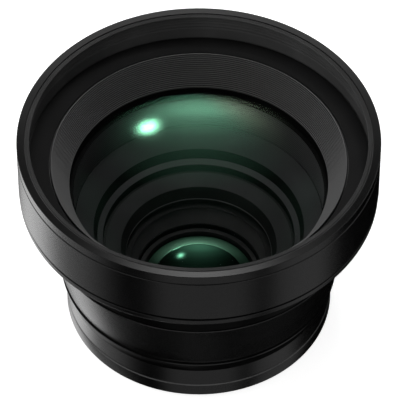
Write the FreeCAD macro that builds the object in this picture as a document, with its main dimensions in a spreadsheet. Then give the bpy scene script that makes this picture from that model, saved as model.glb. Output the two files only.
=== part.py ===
"""Tele conversion lens: a screw-on afocal attachment for the front of a camera's own lens.

The part stands on the end of its rear thread. +Z runs along the optical axis towards the subject, and the origin is
the centre of the rear thread's end face. Every piece is turned about Z, so each one is a profile of radii and heights
revolved about Z, with its small holes and notches cut afterwards.
"""
import FreeCAD, Part
import math
import os

import Sketcher

# Driving dimensions in millimetres: alias, value, meaning.
SIZES = [
    ("running_gap", 0.05, "radial clearance between pieces that slide or screw together"),
    ("seat_gap", 0.04, "clearance of a glass surface from the edge that holds it"),
    # Outside, from the rear thread up to the rim.
    ("thread_length", 2.0, "rear male thread, end face to shoulder"),
    ("seat_width", 1.9, "flat shoulder outside the rear thread"),
    ("mount_band_height", 2.5, "lowest band of the outside"),
    ("mount_band_step", 0.05, "lowest band outside the straight band above it"),
    ("mount_groove_height", 0.7, "groove above the lowest band"),
    ("mount_groove_depth", 0.4, "groove above the lowest band"),
    ("lower_band_height", 4.0, "straight band above the groove"),
    ("lower_band_wall", 1.15, "barrel wall at the straight band"),
    ("lower_taper_height", 2.55, "taper between the band and the cone's foot"),
    ("cone_foot_height", 1.15, "short cylinder under the cone"),
    ("taper_spread", 1.02, "how far the taper widens"),
    ("cone_height", 12.5, "long cone of the barrel"),
    ("neck_wall", 2.95, "barrel wall at the neck between the cone and the wide front ring"),
    ("neck_height", 7.0, "neck between the cone and the wide front ring"),
    ("skirt_height", 2.4, "taper at the wide ring's lower edge"),
    ("skirt_inset", 0.8, "how far that taper draws in"),
    ("skirt_groove_height", 0.4, "fine groove above the taper"),
    ("wide_wall_height", 9.8, "plain wall of the wide ring"),
    ("rim_groove_height", 0.3, "fine groove below the rim"),
    ("rim_height", 2.0, "plain band at the rim"),
    ("fine_groove_depth", 0.15, "both fine grooves of the wide ring"),
    ("wide_wall", 1.9, "wall of the wide ring outside the filter thread"),
    ("rim_chamfer", 0.15, "outer edge of the rim"),
    # Front filter thread and what lies below it.
    ("name_ring_seat", 2.0, "seat of the name ring, inside the crest of the front female thread"),
    ("filter_thread_length", 3.4, "front female thread"),
    ("filter_lead_in", 0.5, "chamfer in front of that thread"),
    ("filter_relief", 0.4, "how far the bore widens behind the thread"),
    ("name_ring_depth", 6.4, "name ring's face below the rim"),
    ("name_ring_thickness", 0.5, "name ring"),
    ("baffle_spread", 3.5, "how far the ridged cone widens"),
    ("baffle_flange_width", 2.4, "flange of the ridged baffle"),
    ("baffle_flange_thickness", 1.0, "flange of the ridged baffle"),
    ("retainer_slope", 0.7, "sloping inner edge of the front retaining ring"),
    ("baffle_wall", 0.8, "radial wall behind the ridges"),
    ("baffle_ledge", 0.9, "width of the ledge under the flange"),
    ("ring_floor_thickness", 1.2, "floor of the wide ring, screwed to the barrel"),
    ("ring_floor_inset", 0.4, "opening of that floor outside the barrel bore"),
    # Main barrel, inside.
    ("barrel_spigot", 3.6, "length of barrel inside the wide ring"),
    ("inner_barrel_wall", 1.1, "wall of the inner barrel at its thread"),
    ("barrel_bore_depth", 12.0, "upper bore of the barrel"),
    ("barrel_shoulder", 2.0, "shoulder between the two bores of the barrel"),
    ("shim_thickness", 0.3, "shim under the inner barrel's flange"),
    # Front lens and its holder.
    ("front_glass_radius", 25.3, "front element, rim"),
    ("front_curve", 60.0, "front element, front surface"),
    ("front_rear_curve", 80.0, "front element, rear surface"),
    ("front_glass_edge", 1.2, "front element, thickness at its rim"),
    ("front_lip", 0.8, "how far the retaining ring covers the front glass"),
    ("retainer_thickness", 0.9, "front retaining ring"),
    ("retainer_step", 0.8, "thread of the front retaining ring outside the glass"),
    ("spacer_height", 7.05, "spacer under the front element"),
    ("spacer_wall", 0.9, "spacer under the front element"),
    ("shelf_rise", 0.6, "shelf above the barrel's shoulder"),
    ("shelf_reach", 0.6, "how far the shelf stands inside the spacer"),
    # Steps of the inner barrel below the shelf.
    ("throat_step", 3.1, "slope from the shelf in to the throat"),
    ("throat_top_drop", 3.1, "throat's top below the shelf"),
    ("throat_taper", 0.7, "how far the throat narrows"),
    ("throat_foot_drop", 5.1, "throat's foot below the shelf"),
    ("lip_reach", 1.1, "slope from the throat in to the lip"),
    ("lip_drop", 6.3, "upper edge of that lip below the shelf"),
    ("lip_thickness", 0.5, "inner lip"),
    ("step_thread_step", 2.6, "thread of the stepped ring outside the lip"),
    # Stepped ring over the middle element.
    ("step_groove_width", 0.6, "groove round the stepped ring's top"),
    ("step_groove_depth", 0.6, "groove round the stepped ring's top"),
    ("step_slope_width", 2.9, "sloping shelf inside the groove"),
    ("step_edge_drop", 1.7, "that edge below the stepped ring's top"),
    ("step_mouth_taper", 1.0, "how far the mouth narrows below that shelf"),
    # Middle element.
    ("middle_lip", 0.6, "how far the stepped ring covers the middle glass"),
    ("middle_curve", 50.0, "middle element, front surface"),
    ("middle_rear_curve", 60.0, "middle element, rear surface"),
    ("middle_glass_edge", 1.2, "middle element, thickness at its rim"),
    ("middle_bevel", 1.6, "flat round the middle element's rear surface"),
    ("stop_thickness", 0.3, "light stop under the middle element"),
    ("stop_reach", 0.1, "how far the light stop stands inside the cone below"),
    # Rear cell.
    ("rear_flange_height", 3.0, "flange of the rear cell"),
    ("rear_tube_wall", 1.6, "wall of the rear cell outside the cone"),
    ("middle_ledge", 1.4, "ledge of the rear cell under the middle glass"),
    ("rear_cone_taper", 1.2, "how far the cone narrows"),
    ("rear_cone_height", 3.5, "cone of the rear cell"),
    ("rear_seat_chamfer", 0.5, "chamfer over that cone"),
    ("rear_end_recess", 0.5, "rear cell's end above the thread's end face"),
    ("rear_lip", 0.8, "lip that carries the rear glass"),
    ("rear_lip_height", 0.6, "lip that carries the rear glass"),
    ("rear_thread_inset", 0.1, "thread of the rear retaining ring inside the foot of the cone"),
    ("rear_retainer_height", 1.05, "rear retaining ring"),
    ("rear_cover_lip", 0.6, "how far the rear retaining ring covers the glass"),
    ("rear_retainer_chamfer", 0.6, "inner edge of the rear retaining ring"),
    # Cemented rear pair.
    ("rear_thread_step", 0.7, "thread of the rear retaining ring outside the glass"),
    ("rear_pair_edge", 4.8, "both rear elements together at the rim"),
    ("rear_back_edge", 2.0, "rearmost element at the rim"),
    ("rear_front_curve", 33.0, "hollow front surface"),
    ("rear_cement_curve", 60.0, "cemented surface"),
    ("rear_last_curve", 120.0, "rearmost surface"),
    ("rear_bevel_width", 2.3, "bevel round the hollow"),
    ("rear_bevel_drop", 0.6, "bevel round the hollow"),
    ("rear_flat_width", 0.3, "flat outside the bevel"),
    # Mount ring, its cover and the small parts.
    ("mount_spigot_height", 5.9, "mount ring above its lowest band"),
    ("mount_spigot_wall", 2.75, "wall of that spigot"),
    ("mount_flange_height", 2.5, "inner flange of the mount ring"),
    ("mount_flange_reach", 3.45, "how far the mount ring's flange stands inside the thread's bore"),
    ("thread_wall", 1.45, "wall behind the rear thread"),
    ("cover_recess", 0.7, "rear cover's face above the thread's end face"),
    ("cover_thickness", 1.0, "rear cover"),
    ("screw_radius", 0.7, "small screws, shank"),
    ("screw_head_radius", 1.0, "small screws, head"),
    ("screw_head_height", 0.6, "small screws, head"),
    ("screw_reach", 2.4, "small screws, shank below the head"),
    ("screw_socket_width", 0.7, "socket in the head, across"),
    ("screw_socket_depth", 0.35, "socket in the head"),
    ("magnet_radius", 1.5, "magnets that the camera senses"),
    ("magnet_height", 1.4, "magnets that the camera senses"),
    ("notch_width", 1.6, "spanner notches in the retaining rings"),
    ("notch_depth", 0.45, "spanner notches in the retaining rings"),
]

RIDGES = 18
SCREWS = 3
MAGNETS = 2
NOTCHES = 2
MAGNET_TURN = 90.0  # degrees from the first screw to the first magnet
SHEET = "Sizes"


class Size:
    """A length that carries its value and the sheet expression that gives it."""

    def __init__(self, value, text):
        self.value = float(value)
        self.text = text

    @staticmethod
    def of(other):
        """Return other as a Size: a plain number becomes a constant."""
        return other if isinstance(other, Size) else Size(other, repr(float(other)))

    def __add__(self, other):
        other = Size.of(other)
        return Size(self.value + other.value, f"({self.text} + {other.text})")

    def __sub__(self, other):
        other = Size.of(other)
        return Size(self.value - other.value, f"({self.text} - {other.text})")

    def __mul__(self, other):
        other = Size.of(other)
        return Size(self.value * other.value, f"({self.text} * {other.text})")

    def __truediv__(self, other):
        other = Size.of(other)
        return Size(self.value / other.value, f"({self.text} / {other.text})")

    __radd__ = __add__
    __rmul__ = __mul__


def root(size):
    """Square root of a Size."""
    return Size(math.sqrt(size.value), f"sqrt({size.text})")


def sag(curve, radius):
    """Depth of a spherical surface of this curve at this radius from its vertex."""
    return curve - root(curve * curve - radius * radius)


def make_sheet(doc):
    """Write the driving dimensions into a spreadsheet and return them as Sizes by alias."""
    sheet = doc.addObject("Spreadsheet::Sheet", SHEET)
    sizes = {}
    for row, (alias, value, meaning) in enumerate(SIZES, start=1):
        sheet.set(f"A{row}", alias)
        sheet.set(f"B{row}", str(value))
        sheet.set(f"C{row}", meaning)
        sheet.setAlias(f"B{row}", alias)
        sizes[alias] = Size(value, f"{SHEET}.{alias}")
    doc.recompute()
    return sizes


def origin_feature(body, role):
    """Find one of the body's own origin planes or axes by its role."""
    return next(feature for feature in body.Origin.OriginFeatures if feature.Role == role)


def place_sketch(body, name, plane, height=None, turned=0.0):
    """Add a sketch on one of the body's origin planes, raised along Z by height and turned about Z in degrees."""
    sketch = body.newObject("Sketcher::SketchObject", name)
    sketch.AttachmentSupport = [(origin_feature(body, plane), "")]
    sketch.MapMode = "FlatFace"
    if height is not None:
        turn_z = FreeCAD.Rotation(FreeCAD.Vector(0, 0, 1), turned)
        sketch.AttachmentOffset = FreeCAD.Placement(FreeCAD.Vector(0, 0, height.value), turn_z)
        sketch.setExpression("AttachmentOffset.Base.z", height.text)
    return sketch


def bind(sketch, constraint, size):
    """Add a dimension to the sketch and drive it from the sheet."""
    index = sketch.addConstraint(constraint)
    sketch.setExpression(f"Constraints[{index}]", size.text)


def pin_point(sketch, edge, end, radius, height):
    """Fix one end of an edge at a radius from the axis and a height above the origin."""
    for axis, size, kind in ((-2, radius, "DistanceX"), (-1, height, "DistanceY")):
        if size.value == 0.0:
            sketch.addConstraint(Sketcher.Constraint("PointOnObject", edge, end, axis))
        else:
            bind(sketch, Sketcher.Constraint(kind, -1, 1, edge, end, size.value), size)


def arc_between(start, end):
    """Return an arc between two (radius, height) points, centred on the axis, and whether it runs from the first."""
    (r0, z0), (r1, z1) = start, end
    middle = (r1 * r1 - r0 * r0 + z1 * z1 - z0 * z0) / (2.0 * (z1 - z0))
    first, second = (math.atan2(z - middle, r) for r, z in (start, end))
    circle = Part.Circle(FreeCAD.Vector(0, middle, 0), FreeCAD.Vector(0, 0, 1), math.hypot(r0, z0 - middle))
    return Part.ArcOfCircle(circle, min(first, second), max(first, second)), first < second


def draw_profile(sketch, corners, arcs):
    """Draw a closed profile with its corners at (radius, height); arcs lists the edges that are spherical."""
    corners = [(Size.of(radius), Size.of(height)) for radius, height in corners]
    count = len(corners)
    ends = []
    for index in range(count):
        start, end = ([size.value for size in corners[i % count]] for i in (index, index + 1))
        forward = True
        if index in arcs:
            shape, forward = arc_between(start, end)
        else:
            shape = Part.LineSegment(FreeCAD.Vector(*start, 0), FreeCAD.Vector(*end, 0))
        sketch.addGeometry(shape, False)
        ends.append((1, 2) if forward else (2, 1))
    for index, (radius, height) in enumerate(corners):
        before = (index - 1) % count
        sketch.addConstraint(Sketcher.Constraint("Coincident", before, ends[before][1], index, ends[index][0]))
        pin_point(sketch, index, ends[index][0], radius, height)
        if index in arcs:
            sketch.addConstraint(Sketcher.Constraint("PointOnObject", index, 3, -2))


def turn(doc, name, corners, arcs=()):
    """Make a body by revolving a profile about Z."""
    body = doc.addObject("PartDesign::Body", name)
    body.Label = name
    sketch = place_sketch(body, f"{name}_profile", "XZ_Plane")
    draw_profile(sketch, corners, arcs)
    solid = body.newObject("PartDesign::Revolution", f"{name}_turned")
    solid.Profile = sketch
    solid.ReferenceAxis = (sketch, ["V_Axis"])
    solid.Angle = 360.0
    sketch.Visibility = False
    body.Tip = solid
    return body


def draw_circle(sketch, radius, out):
    """Draw one circle at a distance from the axis along X."""
    circle = Part.Circle(FreeCAD.Vector(out.value, 0, 0), FreeCAD.Vector(0, 0, 1), radius.value)
    index = sketch.addGeometry(circle, False)
    sketch.addConstraint(Sketcher.Constraint("PointOnObject", index, 3, -1))
    bind(sketch, Sketcher.Constraint("DistanceX", -1, 1, index, 3, out.value), out)
    bind(sketch, Sketcher.Constraint("Radius", index, radius.value), radius)


def draw_slot(sketch, inner, outer, width):
    """Draw one rectangle that spans from inner to outer along X, centred across on X."""
    half = width / 2.0
    corners = [(inner, half * -1.0), (outer, half * -1.0), (outer, half), (inner, half)]
    for index in range(4):
        start, end = ([size.value for size in corners[i % 4]] for i in (index, index + 1))
        sketch.addGeometry(Part.LineSegment(FreeCAD.Vector(*start, 0), FreeCAD.Vector(*end, 0)), False)
    for index, (across, along) in enumerate(corners):
        sketch.addConstraint(Sketcher.Constraint("Coincident", (index - 1) % 4, 2, index, 1))
        pin_point(sketch, index, 1, across, along)


def extrude(body, kind, name, height, depth, draw, upward=False, turned=0.0):
    """Pad or pocket what draw puts in a level sketch, from a height, by a depth; turned is in degrees about Z."""
    sketch = place_sketch(body, f"{name}_sketch", "XY_Plane", height, turned)
    draw(sketch)
    feature = body.newObject(f"PartDesign::{kind}", name)
    feature.Profile = sketch
    feature.setExpression("Length", depth.text)
    feature.Reversed = upward if kind == "Pocket" else not upward
    sketch.Visibility = False
    body.Tip = feature
    return feature


def repeat(body, name, features, count):
    """Repeat features round Z."""
    pattern = body.newObject("PartDesign::PolarPattern", name)
    pattern.Originals = features
    pattern.Axis = (origin_feature(body, "Z_Axis"), [""])
    pattern.Angle = 360.0
    pattern.Occurrences = count
    body.Tip = pattern
    return pattern


def radii(s):
    """Work out every radius from the front glass and the walls, lips and steps between the pieces."""
    r = {}
    r["front_clear_radius"] = s["front_glass_radius"] - s["front_lip"]
    r["spacer_inner_radius"] = s["front_glass_radius"] - s["spacer_wall"]
    r["retainer_thread_radius"] = s["front_glass_radius"] + s["retainer_step"]
    r["baffle_bottom_radius"] = r["front_clear_radius"] + s["retainer_slope"]
    r["name_ring_inner_radius"] = r["baffle_bottom_radius"] + s["baffle_spread"]
    r["baffle_flange_radius"] = r["name_ring_inner_radius"] + s["baffle_flange_width"]
    r["filter_thread_radius"] = r["baffle_flange_radius"] + s["name_ring_seat"]
    r["wide_radius"] = r["filter_thread_radius"] + s["wide_wall"]
    r["barrel_bore_radius"] = r["retainer_thread_radius"] + s["inner_barrel_wall"]
    r["barrel_lower_radius"] = r["barrel_bore_radius"] - s["barrel_shoulder"]
    r["neck_radius"] = r["barrel_bore_radius"] + s["neck_wall"]
    r["ring_floor_radius"] = r["barrel_bore_radius"] + s["ring_floor_inset"]
    r["front_screw_circle"] = (r["barrel_bore_radius"] + r["neck_radius"]) / 2.0
    r["lower_band_radius"] = r["barrel_lower_radius"] + s["lower_band_wall"]
    r["cone_foot_radius"] = r["lower_band_radius"] + s["taper_spread"]
    r["mount_band_radius"] = r["lower_band_radius"] + s["mount_band_step"]
    r["thread_radius"] = r["mount_band_radius"] - s["seat_width"]
    r["mount_end_radius"] = r["thread_radius"] - s["thread_wall"]
    r["mount_flange_radius"] = r["mount_end_radius"] - s["mount_flange_reach"]
    r["cover_screw_circle"] = (r["mount_end_radius"] + r["mount_flange_radius"]) / 2.0
    r["shelf_inner_radius"] = r["spacer_inner_radius"] - s["shelf_reach"]
    r["throat_top_radius"] = r["shelf_inner_radius"] - s["throat_step"]
    r["throat_foot_radius"] = r["throat_top_radius"] - s["throat_taper"]
    r["lip_radius"] = r["throat_foot_radius"] - s["lip_reach"]
    r["step_ring_radius"] = r["lip_radius"] + s["step_thread_step"]
    r["step_edge_radius"] = r["lip_radius"] - s["step_groove_width"] - s["step_slope_width"]
    r["step_mouth_radius"] = r["step_edge_radius"] - s["step_mouth_taper"]
    r["middle_glass_radius"] = r["step_mouth_radius"] + s["middle_lip"]
    r["rear_cone_top_radius"] = r["middle_glass_radius"] - s["middle_ledge"]
    r["stop_radius"] = r["rear_cone_top_radius"] - s["stop_reach"]
    r["rear_tube_radius"] = r["rear_cone_top_radius"] + s["rear_tube_wall"]
    r["rear_cone_foot_radius"] = r["rear_cone_top_radius"] - s["rear_cone_taper"]
    r["rear_thread_radius"] = r["rear_cone_foot_radius"] - s["rear_thread_inset"]
    r["rear_glass_radius"] = r["rear_thread_radius"] - s["rear_thread_step"]
    r["rear_retainer_radius"] = r["rear_glass_radius"] - s["rear_cover_lip"]
    r["rear_lip_radius"] = r["rear_glass_radius"] - s["rear_lip"]
    r["rear_hollow_radius"] = r["rear_glass_radius"] - s["rear_flat_width"] - s["rear_bevel_width"]
    return r


def heights(s):
    """Work out the levels of the stack, from the thread's end face at zero up to the rim."""
    h = {}
    h["shoulder"] = s["thread_length"]
    h["band_top"] = h["shoulder"] + s["mount_band_height"]
    h["barrel_foot"] = h["band_top"] + s["mount_groove_height"]
    h["lower_band_top"] = h["barrel_foot"] + s["lower_band_height"]
    h["taper_top"] = h["lower_band_top"] + s["lower_taper_height"]
    h["cone_foot"] = h["taper_top"] + s["cone_foot_height"]
    h["cone_top"] = h["cone_foot"] + s["cone_height"]
    h["ring_foot"] = h["cone_top"] + s["neck_height"]
    h["skirt_top"] = h["ring_foot"] + s["skirt_height"]
    h["wall_foot"] = h["skirt_top"] + s["skirt_groove_height"]
    h["wall_top"] = h["wall_foot"] + s["wide_wall_height"]
    h["rim_foot"] = h["wall_top"] + s["rim_groove_height"]
    h["rim"] = h["rim_foot"] + s["rim_height"]
    h["barrel_top"] = h["ring_foot"] + s["barrel_spigot"]
    h["floor_top"] = h["barrel_top"] + s["ring_floor_thickness"]
    h["name_face"] = h["rim"] - s["name_ring_depth"]
    h["name_seat"] = h["name_face"] - s["name_ring_thickness"]
    h["flange_seat"] = h["name_seat"] - s["baffle_flange_thickness"]
    h["inner_shoulder"] = h["barrel_top"] - s["barrel_bore_depth"]
    h["inner_flange"] = h["inner_shoulder"] + s["shim_thickness"]
    h["shelf"] = h["inner_shoulder"] + s["shelf_rise"]
    h["lip_foot"] = h["shelf"] - s["lip_drop"] - s["lip_thickness"]
    h["spacer_top"] = h["shelf"] + s["spacer_height"]
    h["front_rear_rim"] = (h["spacer_top"] + s["seat_gap"] - sag(s["front_rear_curve"], s["spacer_inner_radius"])
                           + sag(s["front_rear_curve"], s["front_glass_radius"]))
    h["front_rim"] = h["front_rear_rim"] + s["front_glass_edge"]
    h["front_vertex"] = h["front_rim"] + sag(s["front_curve"], s["front_glass_radius"])
    h["front_rear_vertex"] = h["front_rear_rim"] - sag(s["front_rear_curve"], s["front_glass_radius"])
    h["retainer_foot"] = h["front_vertex"] - sag(s["front_curve"], s["front_clear_radius"]) + s["seat_gap"]
    h["retainer_top"] = h["retainer_foot"] + s["retainer_thickness"]
    h["inner_top"] = h["retainer_top"]
    h["baffle_foot"] = h["retainer_top"] + s["running_gap"]
    h["spigot_top"] = h["band_top"] + s["mount_spigot_height"]
    h["cell_top"] = h["spigot_top"] + s["rear_flange_height"]
    h["inner_foot"] = h["cell_top"] + s["running_gap"]
    h["step_foot"] = h["cell_top"]
    h["step_top"] = h["lip_foot"] - s["running_gap"]
    h["middle_vertex"] = h["step_foot"] - s["seat_gap"] + sag(s["middle_curve"], s["step_mouth_radius"])
    h["middle_front_rim"] = h["middle_vertex"] - sag(s["middle_curve"], s["middle_glass_radius"])
    h["middle_rear_rim"] = h["middle_front_rim"] - s["middle_glass_edge"]
    h["stop_foot"] = h["middle_rear_rim"] - s["stop_thickness"]
    h["cell_cone_top"] = h["stop_foot"] - s["rear_seat_chamfer"]
    h["cell_cone_foot"] = h["cell_cone_top"] - s["rear_cone_height"]
    h["cell_foot"] = s["rear_end_recess"]
    h["rear_lip_top"] = h["cell_foot"] + s["rear_lip_height"]
    h["back_rim"] = (h["rear_lip_top"] + s["seat_gap"] - sag(s["rear_last_curve"], s["rear_lip_radius"])
                     + sag(s["rear_last_curve"], s["rear_glass_radius"]))
    h["cement_rim"] = h["back_rim"] + s["rear_back_edge"]
    h["pair_top"] = h["back_rim"] + s["rear_pair_edge"]
    h["rear_retainer_foot"] = h["pair_top"] + s["seat_gap"]
    h["rear_retainer_top"] = h["rear_retainer_foot"] + s["rear_retainer_height"]
    h["cover_foot"] = s["cover_recess"] * 1.0
    h["cover_top"] = h["cover_foot"] + s["cover_thickness"]
    h["mount_flange_top"] = h["cover_top"] + s["mount_flange_height"]
    return h


def make_screws(doc, name, s, seat, circle, upward):
    """Make a ring of small screws; seat is the face under the heads, and upward the way the shanks point."""
    body = doc.addObject("PartDesign::Body", name)
    body.Label = name
    body.AllowCompound = True
    head_end = seat + s["screw_head_height"] if not upward else seat - s["screw_head_height"]
    shank = extrude(body, "Pad", f"{name}_shank", seat, s["screw_reach"],
                    lambda sketch: draw_circle(sketch, s["screw_radius"], circle), upward=upward)
    head = extrude(body, "Pad", f"{name}_head", seat, s["screw_head_height"],
                   lambda sketch: draw_circle(sketch, s["screw_head_radius"], circle), upward=not upward)
    socket = extrude(body, "Pocket", f"{name}_socket", head_end, s["screw_socket_depth"],
                     lambda sketch: draw_circle(sketch, s["screw_socket_width"] / 2.0, circle), upward=upward)
    repeat(body, f"{name}_ring", [shank, head, socket], SCREWS)
    return body


def cut_screw_holes(body, name, s, seat, circle, sink, head_room, upward):
    """Cut clearance holes and head recesses for a ring of screws."""
    shank = extrude(body, "Pocket", f"{name}_hole", seat, sink,
                    lambda sketch: draw_circle(sketch, s["screw_radius"] + s["running_gap"], circle), upward=upward)
    repeat(body, f"{name}_holes", [shank], SCREWS)
    if head_room is not None:
        recess = extrude(body, "Pocket", f"{name}_recess", seat, head_room,
                         lambda sketch: draw_circle(sketch, s["screw_head_radius"] + s["running_gap"], circle),
                         upward=not upward)
        repeat(body, f"{name}_recesses", [recess], SCREWS)


def make_front_ring(doc, s, h):
    """Wide front ring: filter thread, seats for the name ring and baffle, and a floor screwed to the barrel."""
    wide = s["wide_radius"]
    groove = wide - s["fine_groove_depth"]
    thread = s["filter_thread_radius"]
    thread_top = h["rim"] - s["filter_lead_in"]
    thread_foot = thread_top - s["filter_thread_length"]
    relief = thread + s["filter_relief"]
    flange_bore = s["baffle_flange_radius"] + s["running_gap"]
    ledge = flange_bore - s["baffle_ledge"]
    bore = s["neck_radius"] + s["running_gap"]
    body = turn(doc, "front_ring", [
        (bore, h["ring_foot"]),
        (wide - s["skirt_inset"], h["ring_foot"]),
        (wide, h["skirt_top"]),
        (groove, h["skirt_top"]),
        (groove, h["wall_foot"]),
        (wide, h["wall_foot"]),
        (wide, h["wall_top"]),
        (groove, h["wall_top"]),
        (groove, h["rim_foot"]),
        (wide, h["rim_foot"]),
        (wide, h["rim"] - s["rim_chamfer"]),
        (wide - s["rim_chamfer"], h["rim"]),
        (thread + s["filter_lead_in"], h["rim"]),
        (thread, thread_top),
        (thread, thread_foot),
        (relief, thread_foot),
        (relief, h["name_seat"]),
        (flange_bore, h["name_seat"]),
        (flange_bore, h["flange_seat"]),
        (ledge, h["flange_seat"]),
        (ledge, h["floor_top"]),
        (s["ring_floor_radius"], h["floor_top"]),
        (s["ring_floor_radius"], h["barrel_top"]),
        (bore, h["barrel_top"]),
    ])
    seat = h["floor_top"] - s["screw_head_height"]
    cut_screw_holes(body, "floor", s, seat, s["front_screw_circle"], s["screw_reach"], s["screw_head_height"], False)
    return body


def make_name_ring(doc, s, h):
    """Flat black ring that closes the gap between the filter thread and the baffle."""
    outer = s["filter_thread_radius"] - s["running_gap"]
    inner = s["name_ring_inner_radius"]
    return turn(doc, "name_ring", [
        (inner, h["name_seat"]),
        (outer, h["name_seat"]),
        (outer, h["name_face"]),
        (inner, h["name_face"]),
    ])


def make_ridged_baffle(doc, s, h):
    """Funnel in front of the glass, turned into fine level steps that trap stray light."""
    foot, top = h["baffle_foot"], h["name_seat"]
    low, high = s["baffle_bottom_radius"], s["name_ring_inner_radius"]
    run = (high - low) / RIDGES
    rise = (top - foot) / RIDGES
    lean = (high - low) / (top - foot)
    corners = [(low, foot)]
    for ridge in range(RIDGES):
        level = foot + rise * (ridge + 1)
        corners.append((low + run * ridge, level))
        corners.append((low + run * (ridge + 1), level))
    outside = low + s["baffle_wall"]
    corners += [
        (s["baffle_flange_radius"], top),
        (s["baffle_flange_radius"], h["flange_seat"]),
        (outside + lean * (h["flange_seat"] - foot), h["flange_seat"]),
        (outside, foot),
    ]
    return turn(doc, "ridged_baffle", corners)


def make_front_retaining_ring(doc, s, h):
    """Black ring that screws down on the front element."""
    outer = s["retainer_thread_radius"] - s["running_gap"]
    top = h["retainer_top"]
    body = turn(doc, "front_retaining_ring", [
        (s["front_clear_radius"], h["retainer_foot"]),
        (outer, h["retainer_foot"]),
        (outer, top),
        (s["baffle_bottom_radius"], top),
    ])
    notch = extrude(body, "Pocket", "front_notch", top, s["notch_depth"],
                    lambda sketch: draw_slot(sketch, s["front_clear_radius"], outer + s["notch_depth"],
                                             s["notch_width"]))
    repeat(body, "front_notches", [notch], NOTCHES)
    return body


def make_front_element(doc, s, h):
    """Large front lens, curved outwards on both faces."""
    rim = s["front_glass_radius"]
    return turn(doc, "front_element", [
        (0, h["front_vertex"]),
        (rim, h["front_rim"]),
        (rim, h["front_rear_rim"]),
        (0, h["front_rear_vertex"]),
    ], arcs=(0, 2))


def make_front_spacer(doc, s, h):
    """Tube that carries the front element on the shelf of the inner barrel."""
    return turn(doc, "front_spacer", [
        (s["spacer_inner_radius"], h["shelf"]),
        (s["front_glass_radius"], h["shelf"]),
        (s["front_glass_radius"], h["spacer_top"]),
        (s["spacer_inner_radius"], h["spacer_top"]),
    ])


def make_main_barrel(doc, s, h):
    """Outer barrel: neck inside the wide ring, long cone, taper and lower band, bored in two steps."""
    lower, bore = s["barrel_lower_radius"], s["barrel_bore_radius"]
    body = turn(doc, "main_barrel", [
        (lower, h["barrel_foot"]),
        (s["lower_band_radius"], h["barrel_foot"]),
        (s["lower_band_radius"], h["lower_band_top"]),
        (s["cone_foot_radius"], h["taper_top"]),
        (s["cone_foot_radius"], h["cone_foot"]),
        (s["neck_radius"], h["cone_top"]),
        (s["neck_radius"], h["barrel_top"]),
        (bore, h["barrel_top"]),
        (bore, h["inner_shoulder"]),
        (lower, h["inner_shoulder"]),
    ])
    sunk = s["screw_reach"] + s["screw_head_height"] - s["ring_floor_thickness"] + s["running_gap"]
    cut_screw_holes(body, "barrel", s, h["barrel_top"], s["front_screw_circle"], sunk, None, False)
    return body


def make_inner_barrel(doc, s, h):
    """Lens barrel: holds the front element, and steps inwards below it to a sharp lip."""
    gap = s["running_gap"]
    narrow, broad = s["barrel_lower_radius"] - gap, s["barrel_bore_radius"] - gap
    thread, glass = s["retainer_thread_radius"], s["front_glass_radius"] + gap
    step, shelf = s["step_ring_radius"], h["shelf"]
    return turn(doc, "inner_barrel", [
        (step, h["inner_foot"]),
        (narrow, h["inner_foot"]),
        (narrow, h["inner_flange"]),
        (broad, h["inner_flange"]),
        (broad, h["inner_top"]),
        (thread, h["inner_top"]),
        (thread, h["retainer_foot"] - gap),
        (glass, h["retainer_foot"] - gap),
        (glass, shelf),
        (s["shelf_inner_radius"], shelf),
        (s["throat_top_radius"], shelf - s["throat_top_drop"]),
        (s["throat_foot_radius"], shelf - s["throat_foot_drop"]),
        (s["lip_radius"], shelf - s["lip_drop"]),
        (s["lip_radius"], h["lip_foot"]),
        (step, h["lip_foot"]),
    ])


def make_shim_ring(doc, s, h):
    """Thin shim that sets the inner barrel's height on the outer barrel's shoulder."""
    inner = s["barrel_lower_radius"] + s["running_gap"]
    outer = s["barrel_bore_radius"] - s["running_gap"]
    return turn(doc, "shim_ring", [
        (inner, h["inner_shoulder"]),
        (outer, h["inner_shoulder"]),
        (outer, h["inner_flange"]),
        (inner, h["inner_flange"]),
    ])


def make_stepped_ring(doc, s, h):
    """Ring that screws into the inner barrel and holds the middle element: groove, sloping shelf and mouth."""
    outer = s["step_ring_radius"] - s["running_gap"]
    top, lip = h["step_top"], s["lip_radius"]
    floor = top - s["step_groove_depth"]
    return turn(doc, "stepped_ring", [
        (s["step_mouth_radius"], h["step_foot"]),
        (outer, h["step_foot"]),
        (outer, top),
        (lip, top),
        (lip, floor),
        (lip - s["step_groove_width"], floor),
        (s["step_edge_radius"], top - s["step_edge_drop"]),
    ])


def make_middle_element(doc, s, h):
    """Middle lens: curved forwards on both faces, with a flat round the rear one."""
    rim = s["middle_glass_radius"]
    hollow = rim - s["middle_bevel"]
    return turn(doc, "middle_element", [
        (0, h["middle_vertex"]),
        (rim, h["middle_front_rim"]),
        (rim, h["middle_rear_rim"]),
        (hollow, h["middle_rear_rim"]),
        (0, h["middle_rear_rim"] + sag(s["middle_rear_curve"], hollow)),
    ], arcs=(0, 3))


def make_stop_ring(doc, s, h):
    """Thin black light stop between the middle element and the rear cell."""
    return turn(doc, "stop_ring", [
        (s["stop_radius"], h["stop_foot"]),
        (s["middle_glass_radius"], h["stop_foot"]),
        (s["middle_glass_radius"], h["middle_rear_rim"]),
        (s["stop_radius"], h["middle_rear_rim"]),
    ])


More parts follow.
